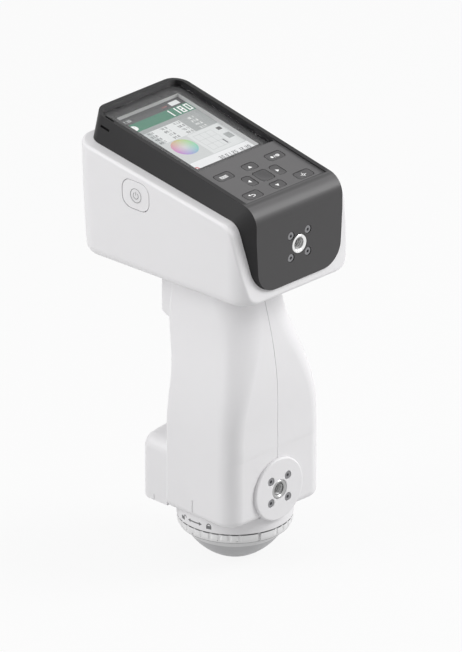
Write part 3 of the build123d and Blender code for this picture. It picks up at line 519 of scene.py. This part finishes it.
UPPER_INSERT = Finish("turned_steel_upper", (0.86, 0.86, 0.86), 0.3, Texture.TURNED, 1.0, depth_mm=0.002,
                      axis=(0.0, 176.15))
LOWER_INSERT = Finish("turned_steel_lower", (0.42, 0.42, 0.42), 0.3, Texture.TURNED, 1.0, depth_mm=0.002,
                      axis=(0.0, 41.5))
ALUMINIUM = Finish("milled_aluminium", (0.64, 0.65, 0.66), 0.38, Texture.BRUSHED, 1.0, depth_mm=0.004)
THREAD = Finish("cut_thread", (0.55, 0.55, 0.55), 0.35, Texture.BRUSHED, 0.35, depth_mm=0.003)
SPHERE_COAT = Finish("diffuse_coating", (0.88, 0.88, 0.86), 0.9, grain_mm=0.2, depth_mm=0.02, tone=0.01)
ANODISED = Finish("black_anodising", (0.03, 0.03, 0.032), 0.4, metallic=0.6)
LAMP_GLASS = Finish("lamp_tube", (0.98, 0.98, 1.0), 0.02, Texture.CLEAR)
SLEEVE = Finish("capacitor_sleeve", (0.03, 0.06, 0.22), 0.35)
WRAP = Finish("battery_film", (0.1, 0.11, 0.14), 0.4)


class Shop:
    """Makes each finish once and hands out its material."""

    def __init__(self) -> None:
        """Start with no materials."""
        self.made: dict[str, bpy.types.Material] = {}

    def get(self, finish: Finish) -> bpy.types.Material:
        """Return the finish's material, made on first use."""
        if finish.name not in self.made:
            self.made[finish.name] = finish.build()
        return self.made[finish.name]

    def dress(self, piece: bpy.types.Object, finish: Finish) -> None:
        """Give a piece one finish all over.

        Args:
            piece: The object.
            finish: Its finish.
        """
        piece.data.materials.clear()
        piece.data.materials.append(self.get(finish))
        LOG.info("dressed %s in %s", piece.name, finish.name)


@dataclass
class Patch:
    """A surface as a grid of points, in millimetres, with one tint."""

    points: Grid
    tint: Color | np.ndarray = (1.0, 1.0, 1.0)


@dataclass
class Sheet:
    """A flat or slightly dished place on the object that takes a print."""

    origin: tuple[float, float, float]
    right: tuple[float, float, float]
    up: tuple[float, float, float]
    lift: float = 0.03
    hollow_r: float = 0.0

    def place(self, flat: Grid) -> Grid:
        """Carry flat points to the place: origin + a·right + b·up, lifted along the normal.

        A dished place rises from its middle by (a² + b²) / 2r.

        Args:
            flat: An array of (a, b) in its last axis.

        Returns:
            The points in millimetres.
        """
        right = np.array(self.right, float)
        up = np.array(self.up, float)
        normal = np.cross(right, up)
        a, b = flat[..., :1], flat[..., 1:2]
        rise = self.lift + ((a**2 + b**2) / (2.0 * self.hollow_r) if self.hollow_r else 0.0)
        return np.array(self.origin, float) + a * right + b * up + rise * normal


def quads(index: Grid) -> Grid:
    """Return the faces between neighbouring rows and columns of a grid of point numbers."""
    corners = [index[:-1, :-1], index[1:, :-1], index[1:, 1:], index[:-1, 1:]]
    return np.stack(corners, -1).reshape(-1, 4)


def link(name: str, data: bpy.types.ID) -> bpy.types.Object:
    """Make an object that shows the data, and link it to the scene."""
    made = bpy.data.objects.new(name, data)
    bpy.context.scene.collection.objects.link(made)
    return made


def bar(a0: float, b0: float, a1: float, b1: float) -> Grid:
    """A flat rectangle between two corners, as a grid that is fine enough to follow a dish."""
    a, b = np.meshgrid(np.linspace(a0, a1, ACROSS), np.linspace(b0, b1, ACROSS), indexing="ij")
    return np.stack([a, b], -1)


def ring(a: float, b: float, inner: float, outer: float, start: float = 0.0, turn: float = 360.0) -> Grid:
    """A flat ring or a part of one: points at radius r and angle t from its centre.

    Args:
        a: The centre's place to the right.
        b: The centre's place upwards.
        inner: The inner radius.
        outer: The outer radius.
        start: The angle at which it starts, in degrees.
        turn: How far it goes round, in degrees.

    Returns:
        The grid of (a, b).
    """
    angle = np.radians(np.linspace(start, start + turn, AROUND))
    radius = np.linspace(max(inner, 1e-4), outer, ACROSS)
    t, r = np.meshgrid(angle, radius, indexing="ij")
    return np.stack([a + r * np.cos(t), b + r * np.sin(t)], -1)


def ribbon(path: list[tuple[float, float]], width: float) -> Grid:
    """A stroke: each point of the path moved half a width to each side of the line through it.

    Args:
        path: The line's points.
        width: The stroke's width.

    Returns:
        The grid of (a, b), two points across.
    """
    line = np.array(path, float)
    along = np.gradient(line, axis=0)
    along /= np.linalg.norm(along, axis=1, keepdims=True)
    side = np.stack([-along[:, 1], along[:, 0]], -1) * width / 2.0
    return np.stack([line - side, line + side], 1)


def wedge(tip: tuple[float, float], base: tuple[float, float], half: float) -> Grid:
    """A triangle: two lines from the tip to the two ends of its base, and the rows between them."""
    tip_at, base_at = np.array(tip, float), np.array(base, float)
    along = base_at - tip_at
    side = np.array([-along[1], along[0]]) / np.linalg.norm(along) * half
    share = np.linspace(0.02, 1.0, ACROSS)[:, None, None]
    across = np.linspace(-1.0, 1.0, 3)[None, :, None]
    return tip_at + along * share + side * across * share


SEGMENTS = {
    "0": "abcdef", "1": "bc", "2": "abged", "3": "abgcd", "4": "fgbc",
    "5": "afgcd", "6": "afgedc", "7": "abc", "8": "abcdefg", "9": "abfgcd",
}


def digits(text: str, a: float, b: float, height: float, weight: float = 0.16) -> list[Grid]:
    """Plain numerals: each is built of up to seven bars; a point is one small square.

    Args:
        text: The numerals and points.
        a: Where the first one starts.
        b: The foot of the row.
        height: The height of a numeral.
        weight: The width of a bar as a share of the height.

    Returns:
        The bars.
    """
    wide, thick = 0.5 * height, weight * height
    mid = height / 2.0
    bars = {
        "a": (0, height - thick, wide, height), "d": (0, 0, wide, thick),
        "g": (0, mid - thick / 2, wide, mid + thick / 2), "f": (0, mid, thick, height),
        "e": (0, 0, thick, mid), "b": (wide - thick, mid, wide, height), "c": (wide - thick, 0, wide, mid),
    }
    made = []
    at = a
    for sign in text:
        if sign in SEGMENTS:
            made += [bar(at + p[0], b + p[1], at + p[2], b + p[3]) for p in (bars[s] for s in SEGMENTS[sign])]
            at += wide + 0.24 * height
        elif sign == ".":
            made.append(bar(at, b, at + thick, b + thick))
            at += thick + 0.2 * height
        else:
            at += 0.4 * height
    return made


class Maker:
    """Turns grids into mesh pieces that ride on a body."""

    def __init__(self, shop: Shop) -> None:
        """Keep the shop that holds the materials.

        Args:
            shop: The shop.
        """
        self.shop = shop

    def piece(self, name: str, patches: list[Patch], finish: Finish, body: str, slot: str) -> None:
        """Join patches into one mesh: the quads between neighbouring rows and columns of each grid.

        Args:
            name: The piece's name.
            patches: Its surfaces.
            finish: Its finish.
            body: The body that it rides on.
            slot: A material slot's name; not used.
        """
        points, faces, tints = [], [], []
        start = 0
        for patch in patches:
            rows, columns = patch.points.shape[:2]
            count = rows * columns
            index = np.arange(count).reshape(rows, columns) + start
            points.append(patch.points.reshape(-1, 3) * MM)
            faces.append(quads(index))
            tint = np.broadcast_to(np.asarray(patch.tint, float), (rows, columns, 3)).reshape(-1, 3)
            tints.append(np.concatenate([tint, np.ones((count, 1))], 1))
            start += count
        mesh = bpy.data.meshes.new(name)
        mesh.from_pydata(np.concatenate(points).tolist(), [], np.concatenate(faces).tolist())
        paint = mesh.color_attributes.new("tint", "FLOAT_COLOR", "POINT")
        paint.data.foreach_set("color", np.concatenate(tints).astype(np.float32).ravel())
        made = link(name, mesh)
        self.shop.dress(made, finish)
        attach(made, body)
        LOG.info("made %s with %d points", name, start)


@dataclass
class Mouldings:
    """The outer CAD pieces, copied and given the small edge radius that a mould leaves."""

    maker: Maker
    nodes: dict[str, bpy.types.Object]
    edge_mm: dict[str, float] = field(default_factory=dict)

    def round_edges(self, node: str, body: str, finish: Finish) -> None:
        """Replace a node by a merged copy with beveled edges and smooth faces.

        Args:
            node: The CAD node.
            body: The body that it belongs to.
            finish: Its finish.
        """
        mesh = self.nodes[node].data.copy()
        work = bmesh.new()
        work.from_mesh(mesh)
        bmesh.ops.remove_doubles(work, verts=work.verts, dist=MERGE_MM * MM)
        work.to_mesh(mesh)
        work.free()
        piece = link(node + "_moulding", mesh)
        mesh.shade_smooth()
        bevel = piece.modifiers.new("edge", "BEVEL")
        bevel.width = self.edge_mm[node] * MM
        bevel.segments = EDGE_SEGMENTS
        bevel.limit_method = "ANGLE"
        bevel.angle_limit = math.radians(EDGE_DEG)
        bevel.use_clamp_overlap = True
        normals = piece.modifiers.new("normals", "WEIGHTED_NORMAL")
        normals.keep_sharp = True
        normals.weight = NORMAL_WEIGHT
        self.maker.shop.dress(piece, finish)
        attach(piece, body)
        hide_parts(node)


@dataclass
class Head:
    """The head: its display picture, keypad prints and power button mark."""

    maker: Maker
    screen_n: float = -3.25
    key_top_n: float = 0.9
    dish_deep: float = 0.45
    dish_r: float = 18.0
    key_mid_s: float = -51.9
    power_at: tuple[float, float] = (28.3, 191.3)

    def on_panel(self, x: float, s: float, n: float) -> tuple[float, float, float]:
        """Return the point at x across, s up the slope and n out of the panel."""
        return x, PANEL_Y + s * RUN - n * RISE, PANEL_Z + s * RISE + n * RUN

    def reading(self) -> tuple[tuple[float, float, float], tuple[float, float, float]]:
        """Return the right and the up of a print that is read with the keys below the display."""
        return (1.0, 0.0, 0.0), (0.0, RUN, RISE)

    def screen(self) -> None:
        """The lit picture: bars, a table of numbers, a colour wheel and a chart, as tinted grids."""
        right, up = self.reading()
        layer_lift, mark_lift = 0.02, 0.06
        sheet = Sheet(self.on_panel(0.0, 0.0, self.screen_n), right, up, layer_lift)
        half, reach = 21.1, 27.9
        white, dark, green = (0.95, 0.96, 0.95), (0.05, 0.055, 0.06), (0.01, 0.18, 0.1)
        layers = [
            (bar(-half, -reach, half, reach), (0.62, 0.64, 0.64), 0),
            (bar(-half, 22.0, half, reach), (0.035, 0.037, 0.04), 1),
            (bar(-half, 15.0, half, 22.0), green, 1),
            (bar(-half, 12.0, half, 15.0), (0.33, 0.35, 0.35), 1),
            (bar(-14.0, 0.0, 6.0, 12.0), (0.8, 0.82, 0.82), 1),
            (bar(-half, 0.0, -14.0, 12.0), (0.55, 0.58, 0.58), 1),
            (bar(-half, -reach, half, -20.0), (0.88, 0.89, 0.9), 1),
            (bar(-1.0, -19.5, 20.0, -0.5), (0.76, 0.78, 0.78), 1),
            (bar(6.0, 0.0, half, 12.0), (0.36, 0.38, 0.38), 1),
        ]
        patches = []
        for flat, tint, level in layers:
            sheet.lift = layer_lift + layer_lift * level
            patches.append(Patch(sheet.place(flat), tint))
        sheet.lift = mark_lift
        marks = [(g, white) for g in digits("1180", 5.2, 15.7, 5.6, 0.15)]
        marks.append((ring(-18.0, 18.4, 0.0, 2.2), white))
        marks.append((ribbon([(-18.9, 18.5), (-18.3, 17.7), (-17.1, 19.3)], 0.35), green))
        top_row, row_pitch, last_column, column_pitch, height = 9.6, 3.0, 10.6, 9.2, 1.7
        for row in range(4):
            foot = top_row - row_pitch * row
            for column in range(4):
                text = f"{(17 * row + 31 * column) % 89 + 10}.{(7 * row + column) % 9 + 1}"
                ink = white if column == 0 else dark
                start = last_column - column_pitch * column
                marks += [(g, ink) for g in digits(text, start, foot, height, 0.17)]
        marks += [(g, (0.6, 0.62, 0.62)) for g in digits("12.30", -20.4, 23.8, 2.0)]
        marks.append((bar(12.5, 23.2, 18.5, 26.4), (0.8, 0.82, 0.82)))
        marks.append((bar(7.0, 24.2, 10.5, 25.0), (0.25, 0.05, 0.05)))
        marks += [(g, dark) for g in digits("30.01.25 12.30", -1.7, -25.4, 2.4, 0.15)]
        marks.append((ring(-18.0, -25.2, 0.5, 1.4), (0.6, 0.1, 0.1)))
        left, right_end, low, high, stroke = 1.0, 13.0, -17.0, -3.0, 0.2
        for line in np.linspace(left, right_end, 4):
            marks.append((bar(line, low, line + stroke, high), (0.5, 0.52, 0.52)))
        for line in np.linspace(low, high, 4):
            marks.append((bar(left, line, right_end, line + stroke), (0.5, 0.52, 0.52)))
        marks.append((bar(16.2, -5.4, 19.0, -3.0), (0.05, 0.05, 0.05)))
        marks.append((bar(15.4, -13.6, 19.4, -9.0), (0.36, 0.38, 0.38)))
        marks.append((bar(11.6, -16.2, 12.4, -12.4), (0.08, 0.08, 0.1)))
        for flat, tint in marks:
            patches.append(Patch(sheet.place(flat), tint))
        mid_a, mid_b, wheel_r, middle, spread = -9.0, -7.4, 6.9, 0.66, 0.24
        wheel = ring(mid_a, mid_b, 0.0, wheel_r)
        turn = np.arctan2(wheel[..., 1] - mid_b, wheel[..., 0] - mid_a)
        far = np.hypot(wheel[..., 0] - mid_a, wheel[..., 1] - mid_b)[..., None] / wheel_r
        hue = np.stack([np.cos(turn - shift) for shift in (2.44, 6.54, 4.45)], -1)
        patches.append(Patch(sheet.place(wheel), middle - spread * far + spread * hue * far))
        self.maker.piece("screen_picture", patches, LIT_PANEL, "instrument", "screen")

    def key_mark(self, key: str, x: float, s: float, grids: list[Grid]) -> None:
        """Print a sign on the dished top of a key.

        Args:
            key: The key's body.
            x: The key's place across the panel.
            s: Its place up the slope, from the middle of the keypad.
            grids: The sign's flat grids.
        """
        right, up = self.reading()
        place = self.on_panel(x, self.key_mid_s + s, self.key_top_n - self.dish_deep)
        sheet = Sheet(place, right, up, 0.03, self.dish_r)
        patches = [Patch(sheet.place(grid)) for grid in grids]
        self.maker.piece(key + "_mark", patches, INK_WHITE, key, "key_grey")

    def keypad(self) -> None:
        """Prints on the keys: arrows as wedges, and four plain signs on the outer keys."""
        reach_x, reach_s, outer_x, outer_s = 9.5, 9.6, 17.4, 9.9
        arrow = {
            "key_up": (0.0, reach_s, (0.0, 1.0)), "key_down": (0.0, -reach_s, (0.0, -1.0)),
            "key_left": (-reach_x, 0.0, (-1.0, 0.0)), "key_right": (reach_x, 0.0, (1.0, 0.0)),
        }
        for key, (x, s, way) in arrow.items():
            base = (-way[0] * 0.75, -way[1] * 0.75)
            self.key_mark(key, x, s, [wedge(way, base, 1.15)])
        loop = [(1.6 * math.cos(t), 0.8 * math.sin(t)) for t in np.linspace(-1.9, 1.9, 15)]
        signs = {
            "key_function_1": [bar(-2.4, low, 2.4, low + 0.4) for low in (0.55, -0.2, -0.95)],
            "key_function_2": [ring(-1.7, 0.0, 0.0, 0.8), ribbon([(-0.3, -1.0), (0.5, 1.0)], 0.28),
                               ring(1.9, 0.0, 0.55, 1.0), ring(1.9, 0.0, 0.0, 0.3)],
            "key_function_3": [ribbon(loop, 0.4), wedge((-2.2, 0.85), (-0.8, 0.85), 0.8)],
            "key_function_4": [ring(0.0, 0.0, 0.5, 0.85),
                               bar(-0.15, 0.95, 0.15, 1.7), bar(-0.15, -1.7, 0.15, -0.95),
                               bar(0.95, -0.15, 1.9, 0.15), bar(-1.9, -0.15, -0.95, 0.15)],
        }
        places = {
            "key_function_1": (-outer_x, outer_s), "key_function_2": (outer_x, outer_s),
            "key_function_3": (-outer_x, -outer_s), "key_function_4": (outer_x, -outer_s),
        }
        for key, grids in signs.items():
            self.key_mark(key, *places[key], grids)

    def power_mark(self, face_x: float) -> None:
        """The open ring and bar on the power button, with a thin ring round them.

        Args:
            face_x: The button's outer face.
        """
        sheet = Sheet((face_x, *self.power_at), (0.0, -1.0, 0.0), (0.0, 0.0, 1.0), 0.04)
        border, circle = ring(0.0, 0.0, 3.45, 3.7), ring(0.0, 0.0, 1.55, 1.8, 125.0, 290.0)
        grids = [border, circle, bar(-0.13, 0.2, 0.13, 2.1)]
        patches = [Patch(sheet.place(grid)) for grid in grids]
        self.maker.piece("power_button_mark", patches, INK_GREY, "power_button", "button_white")


@dataclass
class Foot:
    """The foot: the collar's printed symbols."""

    maker: Maker
    collar_r: float = 28.5
    mark_z: float = 23.6
    lift: float = 0.03

    def wrap(self, flat: Grid, azimuth: float) -> Grid:
        """Wrap flat points round the collar: the angle grows by a / r and the height by b."""
        angle = math.radians(azimuth) + flat[..., 0] / self.collar_r
        radius = self.collar_r + self.lift
        return np.stack([radius * np.cos(angle), radius * np.sin(angle), self.mark_z + flat[..., 1]], -1)

    def marks(self) -> None:
        """A double arrow, an open lock and a closed lock, as outlines on the collar."""
        heads = [wedge((tip, 0.0), (base, 0.0), 1.0) for tip, base in ((-4.6, -2.8), (4.6, 2.8))]
        arrow = [bar(-3.0, -0.35, 3.0, 0.35), *heads]
        closed = [bar(-1.4, -1.5, 1.4, 0.2), ring(0.0, 0.2, 0.7, 1.2, 0.0, 180.0)]
        opened = [bar(-1.4, -1.5, 1.4, 0.2), ring(1.9, 0.2, 0.7, 1.2, 0.0, 180.0)]
        groups = [(opened, 163.0), (arrow, 181.0), (closed, 198.0)]
        patches = [Patch(self.wrap(grid, azimuth)) for grids, azimuth in groups for grid in grids]
        self.maker.piece("collar_marks", patches, INK_GREY, "instrument", "shell_white")


@dataclass
class Thread:
    """The cut thread inside a mount's insert."""

    maker: Maker
    outer_r: float = 3.15
    deep: float = 0.5
    pitch: float = 1.27
    length: float = 6.6
    start: float = 0.7
    around: int = 49
    along: int = 57

    def cut(self, name: str, insert: str) -> None:
        """Lay a helical groove in the insert's hole.

        Its radius falls from the wall by the depth times a triangle wave of y / pitch + angle / 360.

        Args:
            name: The piece's name.
            insert: The CAD node whose hole it lines.
        """
        low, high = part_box(insert)
        mid_z = (low.z + high.z) / 2.0 / MM
        angle = np.linspace(0.0, 2.0 * math.pi, self.around)
        depth = np.linspace(self.start, self.length, self.along)
        t, y = np.meshgrid(angle, depth, indexing="ij")
        wave = 1.0 - np.abs(2.0 * np.mod(y / self.pitch + t / (2.0 * math.pi), 1.0) - 1.0)
        radius = self.outer_r - self.deep * wave
        points = np.stack([radius * np.cos(t), low.y / MM + y, mid_z + radius * np.sin(t)], -1)
        self.maker.piece(name, [Patch(points[::-1])], THREAD, "instrument", "insert_steel")


@dataclass
class Studio:
    """The floor, the lamps, the world and the camera."""

    target: tuple[float, float, float] = (0.0, 0.0, 0.110)
    distance: float = 8.0
    azimuth_deg: float = 45.387
    height_deg: float = 24.591
    shift_right: float = -0.00195
    shift_up: float = 0.0079
    lens_mm: float = 608.8
    room: float = 0.42

    def axes(self) -> tuple[np.ndarray, np.ndarray, np.ndarray]:
        """Return the camera's right, up and backward directions."""
        t, p = math.radians(self.azimuth_deg), math.radians(self.height_deg)
        back = np.array([-math.sin(t) * math.cos(p), -math.cos(t) * math.cos(p), math.sin(p)])
        right = np.array([math.cos(t), -math.sin(t), 0.0])
        up = np.array([math.sin(t) * math.sin(p), math.cos(t) * math.sin(p), math.cos(p)])
        return right, up, back

    def camera(self) -> None:
        """Stand the camera at the photograph's viewing angle, far away with a long lens."""
        right, up, back = self.axes()
        place = np.array(self.target) + back * self.distance + right * self.shift_right + up * self.shift_up
        data = bpy.data.cameras.new("camera")
        data.sensor_fit = "VERTICAL"
        data.sensor_height = 24.0
        data.lens = self.lens_mm
        data.clip_start = 0.5
        data.clip_end = 40.0
        camera = link("camera", data)
        matrix = np.eye(4)
        matrix[:3, 0], matrix[:3, 1], matrix[:3, 2], matrix[:3, 3] = right, up, back, place
        camera.matrix_world = matrix.T.tolist()
        bpy.context.scene.camera = camera

    def lamp(self, name: str, way: tuple[float, float, float], far: float, size: float, power: float) -> None:
        """Hang a square soft lamp that faces the object.

        Args:
            name: The lamp's name.
            way: The direction from the object to the lamp.
            far: How far away it hangs.
            size: Its edge length.
            power: Its power in watts.
        """
        back = np.array(way, float)
        back /= np.linalg.norm(back)
        right = np.cross([0.0, 0.0, 1.0], back)
        right /= np.linalg.norm(right)
        data = bpy.data.lights.new(name, "AREA")
        data.size = size
        data.energy = power
        lamp = link(name, data)
        matrix = np.eye(4)
        matrix[:3, 0], matrix[:3, 1], matrix[:3, 2] = right, np.cross(back, right), back
        matrix[:3, 3] = np.array(self.target) + back * far
        lamp.matrix_world = matrix.T.tolist()

    def seen(self, graph: Graph) -> Wire:
        """Return one for rays that come from the camera, a mirror or glass, else zero."""
        kinds = ("Is Camera Ray", "Is Glossy Ray", "Is Transmission Ray")
        flags = [graph.node("ShaderNodeLightPath", {}, {}, kind) for kind in kinds]
        return flags[0].either(flags[1]).either(flags[2])

    def floor(self) -> None:
        """Lay a pale floor that looks nearly white and keeps the object's soft shadow."""
        graph = Graph(bpy.data.materials.new("floor_paper"))
        grain = graph.noise(2.0)
        tint = graph.mix(grain, (0.54, 0.54, 0.54), (0.58, 0.58, 0.58))
        paper = graph.node("ShaderNodeBsdfDiffuse", {}, {"Color": tint})
        glow = graph.node("ShaderNodeEmission", {}, {"Color": (1.0, 1.0, 1.0, 1.0), "Strength": 1.0})
        blend = graph.node("ShaderNodeMixShader", {}, {0: self.seen(graph) * 0.9, 1: paper, 2: glow})
        graph.node("ShaderNodeOutputMaterial", {}, {"Surface": blend})
        rows, reach, height = 5, 3.0, -0.0002
        side = np.linspace(-reach, reach, rows)
        x, y = np.meshgrid(side, side, indexing="ij")
        points = np.stack([x, y, np.full_like(x, height)], -1).reshape(-1, 3)
        mesh = bpy.data.meshes.new("floor")
        mesh.from_pydata(points.tolist(), [], quads(np.arange(rows * rows).reshape(rows, rows)).tolist())
        floor = link("floor", mesh)
        floor.data.materials.append(graph.owner)

    def world(self) -> None:
        """Light the room evenly; the background that is seen directly is white."""
        bpy.context.scene.world = bpy.data.worlds.new("studio")
        graph = Graph(bpy.context.scene.world)
        strength = self.room + self.seen(graph) * (1.0 - self.room)
        sky = graph.node("ShaderNodeBackground", {}, {"Color": (1.0, 1.0, 1.0, 1.0), "Strength": strength})
        graph.node("ShaderNodeOutputWorld", {}, {"Surface": sky})

    def build(self) -> None:
        """Set up the whole studio."""
        bpy.context.scene.view_settings.view_transform = "Standard"
        self.camera()
        self.floor()
        self.world()
        self.lamp("left_lamp", (-1.0, 0.45, 0.62), 1.6, 1.0, 14.0)
        self.lamp("right_lamp", (0.8, -0.75, 0.7), 1.6, 0.8, 19.0)
        self.lamp("top_lamp", (0.1, 0.1, 1.0), 1.8, 1.2, 8.0)


PLAIN_NODES = {
    "display_window": PANE, "window_mask": BLACK_PRINT,
    "display_frame": FRAME_GREY, "display_panel": DARK_PANEL,
    "key_mat": RUBBER, "key_board": BOARD, "main_board": BOARD, "power_switch": SWITCH, "data_socket": STEEL,
    "case_screws": SCREW_STEEL, "measure_switch": SWITCH, "battery_pack": WRAP, "chassis": ALUMINIUM,
    "lower_mount_insert": LOWER_INSERT, "lower_mount_plate": ALUMINIUM, "lower_mount_screws": SCREW_STEEL,
    "upper_mount_insert": UPPER_INSERT, "upper_mount_plate": ALUMINIUM, "upper_mount_screws": SCREW_STEEL,
    "port_seal": RUBBER, "sphere_lower": SPHERE_COAT, "sphere_upper": SPHERE_COAT, "lamp": LAMP_GLASS,
    "lamp_holder": ANODISED, "lamp_board": BOARD, "lamp_capacitor": SLEEVE, "light_guide": ANODISED,
    "spectrometer": ANODISED, "sensor_board": BOARD, "camera_module": SWITCH, "foot_plate": WHITE,
    "battery_cover": WHITE,
}
ROUNDED_NODES = {
    "head_case": (WHITE, 0.3, "instrument", "shell_white"),
    "head_cover": (CHARCOAL, 0.35, "instrument", "cover_charcoal"),
    "grip_shell_left": (WHITE, 0.12, "instrument", "shell_white"),
    "grip_shell_right": (WHITE, 0.12, "instrument", "shell_white"),
    "trigger_housing": (WHITE, 0.3, "instrument", "shell_white"),
    "rear_housing": (WHITE, 0.2, "instrument", "shell_white"),
    "collar": (COLLAR_WHITE, 0.25, "instrument", "shell_white"),
    "mount_disc": (WHITE, 0.15, "instrument", "shell_white"),
    "target_mask": (NOSE_GREY, 0.25, "instrument", "nose_grey"),
    "bayonet_ring": (RING_WHITE, 0.2, "bayonet_ring", "shell_white"),
    "power_button": (WHITE, 0.15, "power_button", "button_white"),
    "measure_button": (WHITE, 0.2, "measure_button", "button_white"),
}
KEYS = ("up", "down", "left", "right", "centre", "function_1", "function_2", "function_3", "function_4")


def main() -> None:
    """Load the frame, dress its nodes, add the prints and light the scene."""
    logging.basicConfig(level=logging.INFO, format="%(name)s: %(message)s")
    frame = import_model()
    nodes = frame["nodes"]
    shop = Shop()
    maker = Maker(shop)
    for name, finish in PLAIN_NODES.items():
        shop.dress(nodes[name], finish)
    mouldings = Mouldings(maker, nodes, {name: entry[1] for name, entry in ROUNDED_NODES.items()})
    for name, (finish, _, body, slot) in ROUNDED_NODES.items():
        shop.dress(nodes[name], finish)
        mouldings.round_edges(name, body, finish)
    for key in KEYS:
        shop.dress(nodes["key_" + key], KEY_DARK if key == "centre" else KEY_GREY)
    head = Head(maker)
    head.screen()
    head.keypad()
    head.power_mark(float(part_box("power_button")[0].x) / MM)
    Foot(maker).marks()
    thread = Thread(maker)
    thread.cut("upper_thread", "upper_mount_insert")
    thread.cut("lower_thread", "lower_mount_insert")
    Studio().build()


if __name__ == "__main__":
    main()
